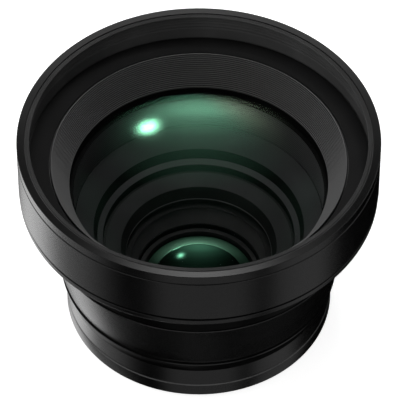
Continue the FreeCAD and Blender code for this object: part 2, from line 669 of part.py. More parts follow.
def make_rear_cell(doc, s, h):
    """Rear lens cell: a flange clamped in the barrel, a cone, and a tube that carries the cemented pair."""
    gap = s["running_gap"]
    flange = s["barrel_lower_radius"] - gap
    seat = s["middle_glass_radius"] + gap
    thread, glass = s["rear_thread_radius"], s["rear_glass_radius"] + gap
    return turn(doc, "rear_cell", [
        (s["rear_lip_radius"], h["cell_foot"]),
        (s["rear_tube_radius"], h["cell_foot"]),
        (s["rear_tube_radius"], h["spigot_top"]),
        (flange, h["spigot_top"]),
        (flange, h["cell_top"]),
        (seat, h["cell_top"]),
        (seat, h["stop_foot"]),
        (s["rear_cone_top_radius"] + s["rear_seat_chamfer"], h["stop_foot"]),
        (s["rear_cone_top_radius"], h["cell_cone_top"]),
        (s["rear_cone_foot_radius"], h["cell_cone_foot"]),
        (thread, h["cell_cone_foot"]),
        (thread, h["rear_retainer_foot"] - gap),
        (glass, h["rear_retainer_foot"] - gap),
        (glass, h["rear_lip_top"]),
        (s["rear_lip_radius"], h["rear_lip_top"]),
    ])


def make_rear_retaining_ring(doc, s, h):
    """Ring that screws down on the cemented pair from the front."""
    inner, outer = s["rear_retainer_radius"], s["rear_thread_radius"] - s["running_gap"]
    top, chamfer = h["rear_retainer_top"], s["rear_retainer_chamfer"]
    body = turn(doc, "rear_retaining_ring", [
        (inner, h["rear_retainer_foot"]),
        (outer, h["rear_retainer_foot"]),
        (outer, top),
        (inner + chamfer, top),
        (inner, top - chamfer),
    ])
    notch = extrude(body, "Pocket", "rear_notch", top, s["notch_depth"],
                    lambda sketch: draw_slot(sketch, inner - chamfer, outer + chamfer, s["notch_width"]))
    repeat(body, "rear_notches", [notch], NOTCHES)
    return body


def make_rear_front_element(doc, s, h):
    """Front half of the cemented rear pair: hollow front face inside a polished bevel."""
    rim, hollow = s["rear_glass_radius"], s["rear_hollow_radius"]
    edge = h["pair_top"] - s["rear_bevel_drop"]
    return turn(doc, "rear_front_element", [
        (0, edge - sag(s["rear_front_curve"], hollow)),
        (hollow, edge),
        (rim - s["rear_flat_width"], h["pair_top"]),
        (rim, h["pair_top"]),
        (rim, h["cement_rim"]),
        (0, h["cement_rim"] - sag(s["rear_cement_curve"], rim)),
    ], arcs=(0, 4))


def make_rear_back_element(doc, s, h):
    """Rear half of the cemented pair, whose outer face looks at the camera's own lens."""
    rim = s["rear_glass_radius"]
    return turn(doc, "rear_back_element", [
        (0, h["cement_rim"] - sag(s["rear_cement_curve"], rim)),
        (rim, h["cement_rim"]),
        (rim, h["back_rim"]),
        (0, h["back_rim"] - sag(s["rear_last_curve"], rim)),
    ], arcs=(0, 2))


def make_mount_ring(doc, s, h):
    """Rear ring: male thread, seating shoulder, lowest band, spigot in the barrel and flange for the cover."""
    band, groove = s["mount_band_radius"], s["mount_band_radius"] - s["mount_groove_depth"]
    spigot = s["barrel_lower_radius"] - s["running_gap"]
    inside = spigot - s["mount_spigot_wall"]
    body = turn(doc, "mount_ring", [
        (s["mount_end_radius"], 0),
        (s["thread_radius"], 0),
        (s["thread_radius"], h["shoulder"]),
        (band, h["shoulder"]),
        (band, h["band_top"]),
        (groove, h["band_top"]),
        (groove, h["barrel_foot"]),
        (spigot, h["barrel_foot"]),
        (spigot, h["spigot_top"]),
        (inside, h["spigot_top"]),
        (inside, h["mount_flange_top"]),
        (s["mount_flange_radius"], h["mount_flange_top"]),
        (s["mount_flange_radius"], h["cover_top"]),
        (s["mount_end_radius"], h["cover_top"]),
    ])
    sunk = s["screw_reach"] + s["screw_head_height"] - s["cover_thickness"] + s["running_gap"]
    cut_screw_holes(body, "flange", s, h["cover_top"], s["cover_screw_circle"], sunk, None, True)
    pocket = extrude(body, "Pocket", "magnet_pocket", h["cover_top"], s["magnet_height"] + s["running_gap"],
                     lambda sketch: draw_circle(sketch, s["magnet_radius"] + s["running_gap"],
                                                s["cover_screw_circle"]),
                     upward=True, turned=MAGNET_TURN)
    repeat(body, "magnet_pockets", [pocket], MAGNETS)
    return body


def make_rear_cover(doc, s, h):
    """Flat black cover between the thread and the rear cell's tube."""
    inner = s["rear_tube_radius"] + s["running_gap"]
    outer = s["mount_end_radius"] - s["running_gap"]
    body = turn(doc, "rear_cover", [
        (inner, h["cover_foot"]),
        (outer, h["cover_foot"]),
        (outer, h["cover_top"]),
        (inner, h["cover_top"]),
    ])
    seat = h["cover_foot"] + s["screw_head_height"]
    cut_screw_holes(body, "cover", s, seat, s["cover_screw_circle"], s["cover_thickness"], s["screw_head_height"],
                    True)
    return body


def make_front_screws(doc, s, h):
    """Screws that hold the wide ring on the barrel, hidden under the baffle."""
    seat = h["floor_top"] - s["screw_head_height"]
    return make_screws(doc, "front_screws", s, seat, s["front_screw_circle"], False)


def make_cover_screws(doc, s, h):
    """Screws that hold the rear cover on the mount ring."""
    seat = h["cover_foot"] + s["screw_head_height"]
    return make_screws(doc, "cover_screws", s, seat, s["cover_screw_circle"], True)


def make_magnets(doc, s, h):
    """Small magnets behind the rear cover, by which the camera senses the converter."""
    body = doc.addObject("PartDesign::Body", "magnets")
    body.Label = "magnets"
    body.AllowCompound = True
    magnet = extrude(body, "Pad", "magnet", h["cover_top"], s["magnet_height"],
                     lambda sketch: draw_circle(sketch, s["magnet_radius"], s["cover_screw_circle"]),
                     upward=True, turned=MAGNET_TURN)
    repeat(body, "magnet_pair", [magnet], MAGNETS)
    return body


MAKERS = [
    make_front_ring, make_name_ring, make_ridged_baffle, make_front_retaining_ring, make_front_element,
    make_front_spacer, make_main_barrel, make_inner_barrel, make_shim_ring, make_stepped_ring,
    make_middle_element, make_stop_ring, make_rear_cell, make_rear_retaining_ring, make_rear_front_element,
    make_rear_back_element, make_mount_ring, make_rear_cover, make_front_screws, make_cover_screws, make_magnets,
]


def check(doc, bodies):
    """Stop with a plain message if any object failed or any piece isn't a sound solid."""
    for item in doc.Objects:
        if "Invalid" in item.State or "Error" in item.State:
            raise RuntimeError(f"{item.Label} failed: {item.State}")
    for body in bodies:
        shape = body.Shape
        if shape.isNull() or not shape.isValid() or not shape.Solids:
            raise RuntimeError(f"{body.Label} has no sound solid")
        for feature in body.Group:
            if feature.isDerivedFrom("PartDesign::Pocket") or feature.isDerivedFrom("PartDesign::PolarPattern"):
                before = feature.BaseFeature.Shape.Volume if feature.BaseFeature else 0.0
                if abs(feature.Shape.Volume - before) < 1e-6:
                    raise RuntimeError(f"{feature.Label} changes nothing")


def main():
    """Build every piece and write each one to its own STEP file."""
    doc = FreeCAD.newDocument("converter")
    sizes = make_sheet(doc)
    sizes.update(radii(sizes))
    levels = heights(sizes)
    bodies = [make(doc, sizes, levels) for make in MAKERS]
    doc.recompute()
    check(doc, bodies)
    os.makedirs("parts", exist_ok=True)
    for body in bodies:
        body.Shape.exportStep(f"parts/{body.Label}.step")
        print(f"{body.Label}: {len(body.Shape.Solids)} solid, {body.Shape.Volume:.1f} mm3")


main()
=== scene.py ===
"""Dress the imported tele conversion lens: turned black metal, ridged baffle, fine threads and coated glass."""
import logging
import math
from dataclasses import dataclass, field
from enum import Enum
from typing import Any, Callable, Iterable, Sequence

import bmesh
import bpy
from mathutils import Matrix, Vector


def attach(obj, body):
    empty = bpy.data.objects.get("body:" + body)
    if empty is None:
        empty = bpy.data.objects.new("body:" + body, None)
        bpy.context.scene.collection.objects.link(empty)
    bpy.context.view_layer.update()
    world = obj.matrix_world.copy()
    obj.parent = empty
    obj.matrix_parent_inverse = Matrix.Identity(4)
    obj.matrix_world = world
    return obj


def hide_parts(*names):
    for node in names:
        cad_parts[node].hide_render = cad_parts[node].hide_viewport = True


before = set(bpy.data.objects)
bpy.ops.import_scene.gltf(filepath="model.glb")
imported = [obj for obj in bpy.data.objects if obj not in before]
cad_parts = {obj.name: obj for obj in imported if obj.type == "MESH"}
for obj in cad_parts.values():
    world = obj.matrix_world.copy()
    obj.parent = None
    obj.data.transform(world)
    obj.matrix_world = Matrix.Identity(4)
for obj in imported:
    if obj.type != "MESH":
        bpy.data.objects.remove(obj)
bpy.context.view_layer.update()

LOG = logging.getLogger("conversion_lens")
MM = 0.001
FACES_ROUND = 240  # faces round a turned piece
SHARP = math.radians(15.0)  # edges that turn by more stay crisp
PITCH = 0.75  # pitch of both threads, in millimetres
THREAD_SEGMENTS = 180  # segments in a turn of thread
WHITE = (1.0, 1.0, 1.0, 1.0)
GRAIN_SCALE = 9000.0  # scales of the noises, per metre
CLOUD_SCALE = 90.0
HAZE_SCALE = 60.0
SLEEVE = 25.15  # radius at which the inner barrel, rear cell and mount ring slide into the barrel
CELL_RIM = 10.4  # level at which the rear cell's rim lies on the mount ring
BARREL_TOP = 36.0  # level at which the wide ring lies on the barrel
Point = tuple[float, float]
Colour = tuple[float, float, float]


class Slot(Enum):
    """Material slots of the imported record."""

    SATIN_BLACK = "satin_black"
    FLAT_BLACK = "flat_black"
    INNER_BLACK = "inner_black"
    COATED_GLASS = "coated_glass"
    CLEAR_GLASS = "clear_glass"
    REAR_GLASS = "rear_glass"
    SHIM_BRASS = "shim_brass"
    BLACK_SCREW = "black_screw"
    MAGNET_NICKEL = "magnet_nickel"


def operation(name: str, reflected: bool = False) -> Callable[["Value", Any], "Value"]:
    """Make an operator that adds one Math node.

    Args:
        name: The node's operation.
        reflected: Whether the value is the second operand.

    Returns:
        The operator.
    """
    def apply(value: "Value", other: Any) -> "Value":
        """Add the node and return its result."""
        first, second = (other, value) if reflected else (value, other)
        return value.graph.add("ShaderNodeMath", {"operation": name}, {0: first, 1: second})

    return apply


class Value:
    """A node socket that takes part in Python arithmetic, each operation adding its Math node."""

    __add__ = __radd__ = operation("ADD")
    __sub__ = operation("SUBTRACT")
    __rsub__ = operation("SUBTRACT", reflected=True)
    __mul__ = __rmul__ = operation("MULTIPLY")
    __truediv__ = operation("DIVIDE")
    __rtruediv__ = operation("DIVIDE", reflected=True)
    __pow__ = operation("POWER")
    __rpow__ = operation("POWER", reflected=True)
    at_most = operation("MINIMUM")
    at_least = operation("MAXIMUM")

    def __init__(self, graph: "NodeTree", socket: bpy.types.NodeSocket) -> None:
        """Wrap an output socket of a tree."""
        self.graph = graph
        self.socket = socket

    def other(self, name: str) -> "Value":
        """Return another output of the same node."""
        return Value(self.graph, self.socket.node.outputs[name])

    def ramp(self, low: Any, high: Any, start: float = 0.0, end: float = 1.0) -> "Value":
        """Blend smoothly from start to end as the value goes from low to high."""
        sockets = {"Value": self, "From Min": low, "From Max": high, "To Min": start, "To Max": end}
        return self.graph.add("ShaderNodeMapRange", {"interpolation_type": "SMOOTHSTEP"}, sockets)


class NodeTree:
    """A node tree that is written as expressions."""

    def __init__(self, tree: bpy.types.NodeTree) -> None:
        """Empty a tree and start from it."""
        self.tree = tree
        tree.nodes.clear()

    def add(self, kind: str, settings: dict[str, Any], sockets: dict[Any, Any], output: Any = 0) -> Value:
        """Add any node.

        Args:
            kind: The node's type.
            settings: Its settings, set before its sockets; a ramp's stops come as "stops".
            sockets: Input socket names or numbers and the values or links that they take.
            output: The output socket wanted, by name or number.

        Returns:
            That output, or the first input of a node that has no output.
        """
        node = self.tree.nodes.new(kind)
        for key, setting in settings.items():
            if key == "stops":
                self._set_stops(node, setting)
            else:
                setattr(node, key, setting)
        for key, given in sockets.items():
            if isinstance(given, Value):
                self.tree.links.new(given.socket, node.inputs[key])
            else:
                node.inputs[key].default_value = given
        return Value(self, node.outputs[output] if len(node.outputs) else node.inputs[0])

    def vector(self, x: Any, y: Any, z: Any) -> Value:
        """Join three values into a vector."""
        return self.add("ShaderNodeCombineXYZ", {}, {0: x, 1: y, 2: z})

    @staticmethod
    def _set_stops(node: bpy.types.Node, stops: Sequence[tuple[float, float]]) -> None:
        """Put grey stops on a colour ramp.

        Args:
            node: The ramp.
            stops: Places from 0 to 1, each with its grey level.
        """
        elements = node.color_ramp.elements
        while len(elements) < len(stops):
            elements.new(0.5)
        for element, (place, level) in zip(elements, stops):
            element.position = place
            element.color = (level, level, level, 1.0)


class Graph(NodeTree):
    """A shader's node tree."""

    def split(self, vector: Value) -> tuple[Value, Value, Value]:
        """Return a vector's x, y and z."""
        x = self.add("ShaderNodeSeparateXYZ", {}, {0: vector}, "X")
        return x, x.other("Y"), x.other("Z")

    def place(self) -> tuple[Value, Value, Value]:
        """Return the object's x, y and z coordinates in metres."""
        return self.split(self.add("ShaderNodeTexCoord", {}, {}, "Object"))

    def noise(self, vector: Value, scale: float, detail: float = 2.0) -> Value:
        """Return noise from 0 to 1, at a scale per metre and with a number of octaves."""
        return self.add("ShaderNodeTexNoise", {}, {"Vector": vector, "Scale": scale, "Detail": detail}, "Fac")

    def blend(self, amount: Any, first: Colour, second: Colour) -> Value:
        """Mix two colours, with an amount from 0 to 1 of the second."""
        sockets = {0: amount, 6: (*first, 1.0), 7: (*second, 1.0)}
        return self.add("ShaderNodeMix", {"data_type": "RGBA"}, sockets, 2)

    def mirror(self, tint: Any, roughness: float) -> Value:
        """Return a tinted reflection, with a trace of haze in the polish.

        Args:
            tint: Its colour.
            roughness: Its least roughness.

        Returns:
            The shader.
        """
        haze = self.noise(self.vector(*self.place()), HAZE_SCALE)
        sockets = {"Base Color": tint, "Metallic": 1.0, "Roughness": haze * 0.02 + roughness}
        return self.add("ShaderNodeBsdfPrincipled", {}, sockets)

    def clear(self) -> Value:
        """Return a shader that lets everything through."""
        return self.add("ShaderNodeBsdfTransparent", {}, {"Color": WHITE})

    def glow(self, strength: Value) -> Value:
        """Return white light of a strength."""
        return self.add("ShaderNodeEmission", {}, {"Color": WHITE, "Strength": strength})

    def finish(self, shader: Value, kind: str = "ShaderNodeOutputMaterial") -> None:
        """Link a shader to the tree's output."""
        self.add(kind, {}, {"Surface": shader})


def new_material(name: str) -> tuple[bpy.types.Material, Graph]:
    """Make an empty material.

    Args:
        name: Its name.

    Returns:
        The material and its graph.
    """
    material = bpy.data.materials.new(name)
    material.use_nodes = True
    return material, Graph(material.node_tree)


def spread(x: Value, y: Value) -> Value:
    """Return how far a place is from the axis."""
    return (x * x + y * y) ** 0.5


def grey(level: float) -> Colour:
    """Return a plain grey."""
    return (level, level, level)


@dataclass(frozen=True)
class TurnedMetal:
    """Metal that was turned, then blasted and blackened or plated; some black copies are made lighter or darker to
    paint light and shade.
    """

    name: str
    colour: Colour
    roughness: float
    metallic: float = 0.0  # 0 for a black finish and 1 for bare metal
    specular: float = 0.5  # strength of the gloss on a black finish
    grain: float = 0.0008  # height of the blasted grain in millimetres
    turning: float = 0.0006  # height of the turning marks in millimetres
    crown: float = 0.0  # slope by which a flat land falls away outwards
    land: Colour | None = None  # colour of faces that look up, where it differs: painted light on the tops

    def paint(self, graph: Graph) -> None:
        """Paint a material, with marks that run round the axis.

        Args:
            graph: The material's graph.
        """
        x, y, z = graph.place()
        radius, point = spread(x, y), graph.vector(x, y, z)
        marks = graph.noise(graph.vector(radius, 0.0, z), GRAIN_SCALE, 1.0)
        grain = graph.noise(point, GRAIN_SCALE)
        cloud = graph.noise(point, CLOUD_SCALE, 3.0)
        lighter = tuple(min(1.0, channel * 1.35 + 0.001) for channel in self.colour)
        height = marks * (self.turning * MM) + grain * (self.grain * MM)
        if self.crown:
            height = height - radius * self.crown
        # Faces that look up take the lighter land colour: painted light on the tops.
        if self.land:
            _, _, up = graph.split(graph.add("ShaderNodeNewGeometry", {}, {}, "True Normal"))
            colour = graph.blend(up.ramp(0.3, 0.8), self.colour, self.land)
        else:
            colour = graph.blend(cloud.ramp(0.35, 0.75), self.colour, lighter)
        normal = graph.add("ShaderNodeBump", {}, {"Strength": 1.0, "Distance": 1.0, "Height": height})
        shader = graph.add("ShaderNodeBsdfPrincipled", {}, {
            "Base Color": colour,
            "Roughness": cloud * 0.06 + grain * 0.08 + (self.roughness - 0.07),
            "Metallic": self.metallic,
            "Specular IOR Level": self.specular,
            "Normal": normal,
        })
        graph.finish(shader)


@dataclass(frozen=True)
class Coating:
    """One polished glass surface with an anti-reflection coating."""

    name: str
    colour: Colour  # colour of what the coating throws back
    strength: float  # share of the light that it throws back when seen straight on
    edge: float  # further share when seen at a grazing angle
    roughness: float = 0.02
    second: Colour | None = None  # colour that the coating turns to at the back on the right, if any
    second_from: float = 23.0  # where that begins, along the diagonal in millimetres
    second_to: float = 32.0  # where it is complete
    # The fade below is painted shade over the reflection at the rim, where the ring shades the glass.
    fade_from: float = 0.0  # radius in millimetres from which the reflection fades, or 0
    fade_to: float = 0.0  # radius at which it has gone
    # The dim below is painted shade over the reflection towards the front.
    dim: float = 1.0  # share of the reflection that is left at the front
    dim_from: float = 0.0  # where it starts to gain towards the back, in millimetres
    dim_to: float = 1.0  # where it is complete

    def paint(self, graph: Graph) -> None:
        """Paint a material: clear, with a coloured reflection laid over it.

        Args:
            graph: The material's graph.
        """
        x, y, _ = graph.place()
        facing = graph.add("ShaderNodeLayerWeight", {}, {"Blend": 0.5}, "Facing")
        tint: Any = (*self.colour, 1.0)
        if self.second:
            tint = graph.blend((x + y).ramp(self.second_from * MM, self.second_to * MM), self.colour, self.second)
        factor = facing ** 4.0 * self.edge + self.strength
        # Painted shade over the reflection: faded out towards the rim and dimmed towards the front.
        if self.fade_to:
            fade = spread(x, y).ramp(self.fade_from * MM, self.fade_to * MM, 1.0, 0.0)
            factor = factor * fade * y.ramp(self.dim_from * MM, self.dim_to * MM, self.dim, 1.0)
        shine = graph.mirror(tint, self.roughness)
        graph.finish(graph.add("ShaderNodeMixShader", {}, {0: factor, 1: graph.clear(), 2: shine}))


@dataclass(frozen=True)
class DarkGlass:
    """A polished glass surface made opaque, with the shade behind it painted in as darkness, so that it shows only its
    coating's reflection.
    """

    name: str
    colour: Colour  # colour of the reflection, as dark as the coating lets it be
    roughness: float
    # The dim below is painted shade over the reflection towards the front.
    dim: float = 1.0  # share of the reflection that is left at the front
    dim_from: float = 0.0  # where it starts to gain towards the back, in millimetres
    dim_to: float = 1.0  # where it is complete

    def paint(self, graph: Graph) -> None:
        """Paint a material that only reflects.

        Args:
            graph: The material's graph.
        """
        tint: Any = (*self.colour, 1.0)
        # Painted shade over the reflection towards the front.
        if self.dim < 1.0:
            _, y, _ = graph.place()
            front = tuple(part * self.dim for part in self.colour)
            tint = graph.blend(y.ramp(self.dim_from * MM, self.dim_to * MM), front, self.colour)
        graph.finish(graph.mirror(tint, self.roughness))


SATIN = TurnedMetal("satin_black_outside", (0.0022, 0.0022, 0.0023), 0.27)
# A barely darker copy of the outer satin black: painted shade on the barrel's land, groove and cone.
SHADE = TurnedMetal("satin_black_cone", grey(0.002), 0.27)
# A darker copy of the satin black, with little gloss: painted shade on the taper above the neck and the recess under
# the wide ring.
RECESS_PAINTED_SHADE = TurnedMetal("satin_black_recess", grey(0.0015), 0.3, specular=0.05)
NAME = TurnedMetal("flat_black_paint", (0.0065, 0.0065, 0.0066), 0.5, specular=0.2)
# A much lighter copy of the satin black: painted light on the threaded bore and the filter thread.
BORE_PAINTED_LIGHT = TurnedMetal("satin_black_bore", grey(0.07), 0.5, specular=0.1)
# A lighter copy of the satin black: painted light on the rim's inner lip.
LIP_PAINTED_LIGHT = TurnedMetal("satin_black_lip", grey(0.042), 0.5, specular=0.1)
# A lighter copy of the satin black: painted light on the rim's top land.
TOP_PAINTED_LIGHT = TurnedMetal("satin_black_top", grey(0.009), 0.23, specular=0.3, crown=0.325)
# A lighter copy of the flat black, lighter still on faces that look up: painted light on the ridged baffle.
RIDGES_PAINTED_LIGHT = TurnedMetal("flat_black_ridges", grey(0.055), 0.6, specular=0.1, land=grey(0.15))
# Matt black: ink on the glass edges, and painted shade, darker than the inner black, on the retaining ring, the
# spacer's top and the glass seat.
INK_AND_SHADE_BLACK = TurnedMetal("deep_black", grey(0.0015), 0.7, specular=0.12)
INNER = TurnedMetal("inner_black", (0.014, 0.0145, 0.0145), 0.42, specular=0.45)
# A lighter copy of the inner black: painted light on the cone under the inner barrel's lip and on its shelf.
WALL_PAINTED_LIGHT = TurnedMetal("inner_black_wall", (0.032, 0.033, 0.034), 0.5, specular=0.3)
# A lighter copy of the inner black: painted light on the front spacer.
SPACER_PAINTED_LIGHT = TurnedMetal("inner_black_spacer", (0.055, 0.056, 0.057), 0.5, specular=0.3)
# A lighter copy of the inner black: painted light on the stepped ring's slope.
SLOPE_PAINTED_LIGHT = TurnedMetal("inner_black_slope", (0.019, 0.02, 0.02), 0.6, specular=0.15)
CELL_RING = TurnedMetal("rear_ring_black", grey(0.015), 0.5, specular=0.15)
# A darker copy of the inner black: painted shade on risers, undersides and steep walls inside.
RISER_PAINTED_SHADE = TurnedMetal("inner_black_riser", grey(0.0025), 0.6, specular=0.1)
# A darker copy of the inner black: painted shade on the stepped ring's groove and wall and on the middle glass's back
# annulus.
STEP_PAINTED_SHADE = TurnedMetal("inner_black_step", grey(0.01), 0.6, specular=0.1)
# A light grey: painted highlight on the stepped ring's lower edge and the mount ring's bevel.
EDGE_PAINTED_HIGHLIGHT = TurnedMetal("inner_bright_edge", grey(0.085), 0.4)
# A lighter copy of the inner black: painted light on the rear cell's chamfer and cone and on the stop ring.
THROAT_PAINTED_LIGHT = TurnedMetal("throat_black", grey(0.05), 0.5, specular=0.15)
BRASS = TurnedMetal("rolled_brass", (0.72, 0.55, 0.28), 0.35, metallic=1.0)
NICKEL = TurnedMetal("nickel_plate", (0.62, 0.6, 0.56), 0.25, metallic=1.0)
SCREW = TurnedMetal("blackened_steel", (0.03, 0.03, 0.032), 0.3, metallic=0.6)
FRONT_FACE = Coating("front_face_coating", (0.7, 0.75, 0.8), 0.00004, 0.04)
# Its green reflection takes painted shade at the rim and towards the front.
FRONT_BACK = Coating("front_glass_green_coating", (0.38, 1.0, 0.64), 0.06, 0.02, 0.06, (0.75, 1.0, 0.7),
                     fade_from=21.0, fade_to=25.6, dim=0.2, dim_from=-9.0, dim_to=6.0)
MIDDLE_FACE = Coating("middle_glass_coating", (0.5, 0.9, 0.7), 0.00004, 0.02)
# Both rear surfaces are opaque: the shade behind the glass is painted in as darkness.
REAR_HOLLOW = DarkGlass("rear_hollow_green_coating", (0.0056, 0.0185, 0.0113), 0.06)
REAR_BEVEL = DarkGlass("rear_bevel_green", (0.078, 0.185, 0.12), 0.28, dim=0.1, dim_from=2.0, dim_to=10.2)
REAR_FACE = Coating("rear_face_coating", (0.35, 0.9, 0.6), 0.004, 0.03)
Finish = TurnedMetal | Coating | DarkGlass


class Wardrobe:
    """Builds each finish once and hands out its material."""

    def __init__(self) -> None:
        """Start with nothing made."""
        self.made: dict[str, bpy.types.Material] = {}

    def get(self, finish: Finish) -> bpy.types.Material:
        """Return the material of a finish.

        Args:
            finish: The finish wanted.

        Returns:
            Its material, made on the first call.
        """
        if finish.name not in self.made:
            self.made[finish.name], graph = new_material(finish.name)
            finish.paint(graph)
        return self.made[finish.name]


WARDROBE = Wardrobe()


@dataclass
class Profile:
    """The outline of a turned piece in radii and heights, in millimetres, with a finish for each stretch."""

    # corners, anticlockwise with the radius to the right and the height upwards
    points: list[Point] = field(default_factory=list)
    # for each edge, from its point to the next, the number of its finish
    paint: list[int] = field(default_factory=list)
    closed: bool = True  # false for a piece whose outline starts and ends on the axis

    def line(self, *points: Point, finish: int = 0) -> "Profile":
        """Add corners whose edges run straight on to the next corner.

        Args:
            points: The corners.
            finish: The number of those edges' finish.

        Returns:
            The profile itself.
        """
        self.points += points
        self.paint += [finish] * len(points)
        return self

    def sphere(self, start: Point, end: Point, finish: int = 0, steps: int = 28) -> "Profile":
        """Add a spherical stretch centred on the axis, without its last corner.

        Args:
            start: Where it begins.
            end: Where it ends.
            finish: The number of its finish.
            steps: Into how many edges it is cut.

        Returns:
            The profile itself.
        """
        (r0, z0), (r1, z1) = start, end
        middle = (r1 * r1 - r0 * r0 + z1 * z1 - z0 * z0) / (2.0 * (z1 - z0))
        curve = math.hypot(r0, z0 - middle)
        side = math.copysign(1.0, z0 - middle)
        for step in range(steps):
            radius = r0 + (r1 - r0) * step / steps
            self.line((radius, middle + side * math.sqrt(curve * curve - radius * radius)), finish=finish)
        return self

    def softened(self, size: float) -> "Profile":
        """Return the outline with its outer corners cut back.

        Args:
            size: Width of the cut along each edge, in millimetres.

        Returns:
            A new profile.
        """
        made = Profile(closed=self.closed)
        count = len(self.points)
        for index, here in enumerate(self.points):
            finish = self.paint[index]
            before, after = self.points[index - 1], self.points[(index + 1) % count]
            ends = not self.closed and index in (0, count - 1)
            first = Vector((here[0] - before[0], here[1] - before[1]))
            second = Vector((after[0] - here[0], after[1] - here[1]))
            turn = first.x * second.y - first.y * second.x
            sharp = turn > 0.3 * first.length * second.length
            if ends or not sharp or min(first.length, second.length) < 2.5 * size:
                made.line(here, finish=finish)
                continue
            inset, outset = first.normalized() * size, second.normalized() * size
            made.line((here[0] - inset.x, here[1] - inset.y), finish=finish)
            made.line((here[0] + outset.x, here[1] + outset.y), finish=finish)
        return made


def link(name: str, mesh: bpy.types.Mesh) -> bpy.types.Object:
    """Put a mesh into the scene as an object at the origin.

    Args:
        name: The object's name.
        mesh: Its mesh.

    Returns:
        The object.
    """
    thing = bpy.data.objects.new(name, mesh)
    bpy.context.scene.collection.objects.link(thing)
    return thing


def to_mesh(work: bmesh.types.BMesh, name: str) -> bpy.types.Mesh:
    """Turn a shape's faces outwards and make it a mesh.

    Args:
        work: The shape, which is freed.
        name: The mesh's name.

    Returns:
        The mesh.
    """
    bmesh.ops.recalc_face_normals(work, faces=work.faces)
    mesh = bpy.data.meshes.new(name)
    work.to_mesh(mesh)
    work.free()
    return mesh


def finished(name: str, work: bmesh.types.BMesh, finishes: Sequence[Finish]) -> bpy.types.Object:
    """Make a shape an object, smooth but for its sharp edges, and give it its materials.

    Args:
        name: The object's name.
        work: The shape.
        finishes: Its finishes, in the order of its faces' material numbers.

    Returns:
        The object.
    """
    mesh = to_mesh(work, name)
    for finish in finishes:
        mesh.materials.append(WARDROBE.get(finish))
    mesh.shade_smooth()
    mesh.set_sharp_from_angle(angle=SHARP)
    return link(name, mesh)


def turned(name: str, profile: Profile, finishes: Sequence[Finish], soften: float = 0.0,
           faces_round: int = FACES_ROUND) -> bpy.types.Object:
    """Revolve a profile about Z.

    Args:
        name: The object's name.
        profile: Its outline.
        finishes: Its finishes, in the order of the profile's numbers.
        soften: Width of the cut on outer corners, in millimetres.
        faces_round: How many faces go round.

    Returns:
        The turned object.
    """
    shape = profile.softened(soften) if soften else profile
    work = bmesh.new()
    rings: list[list[bmesh.types.BMVert]] = []
    for radius, height in shape.points:
        spots = [math.tau * turn / faces_round for turn in range(faces_round)] if radius else [0.0]
        rings.append([
            work.verts.new((radius * MM * math.cos(spot), radius * MM * math.sin(spot), height * MM))
            for spot in spots
        ])
    pairs = len(rings) if shape.closed else len(rings) - 1
    for index in range(pairs):
        lower, upper = rings[index], rings[(index + 1) % len(rings)]
        for turn in range(faces_round):
            after = (turn + 1) % faces_round
            corners = [lower[turn % len(lower)], lower[after % len(lower)], upper[after % len(upper)],
                       upper[turn % len(upper)]]
            face = work.faces.new(list(dict.fromkeys(corners)))
            face.material_index = shape.paint[index]
    return finished(name, work, finishes)


def place_on_root(piece: bpy.types.Object, slot: Slot, *nodes: str) -> bpy.types.Object:
    """Hand a finished piece to the frame.

    Args:
        piece: The piece.
        slot: The record's slot; not used.
        nodes: CAD nodes that it stands for.

    Returns:
        The piece.
    """
    if nodes:
        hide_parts(*nodes)
    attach(piece, "root")
    LOG.info("%s: %d faces", piece.name, len(piece.data.polygons))
    return piece


def dress_node(node: str, finish: TurnedMetal) -> None:
    """Give a CAD node that stays in view its material.

    Args:
        node: The node's name.
        finish: Its finish.
    """
    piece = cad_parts[node]
    piece.data.materials.clear()
    piece.data.materials.append(WARDROBE.get(finish))
    LOG.info("%s: kept from the frame", node)


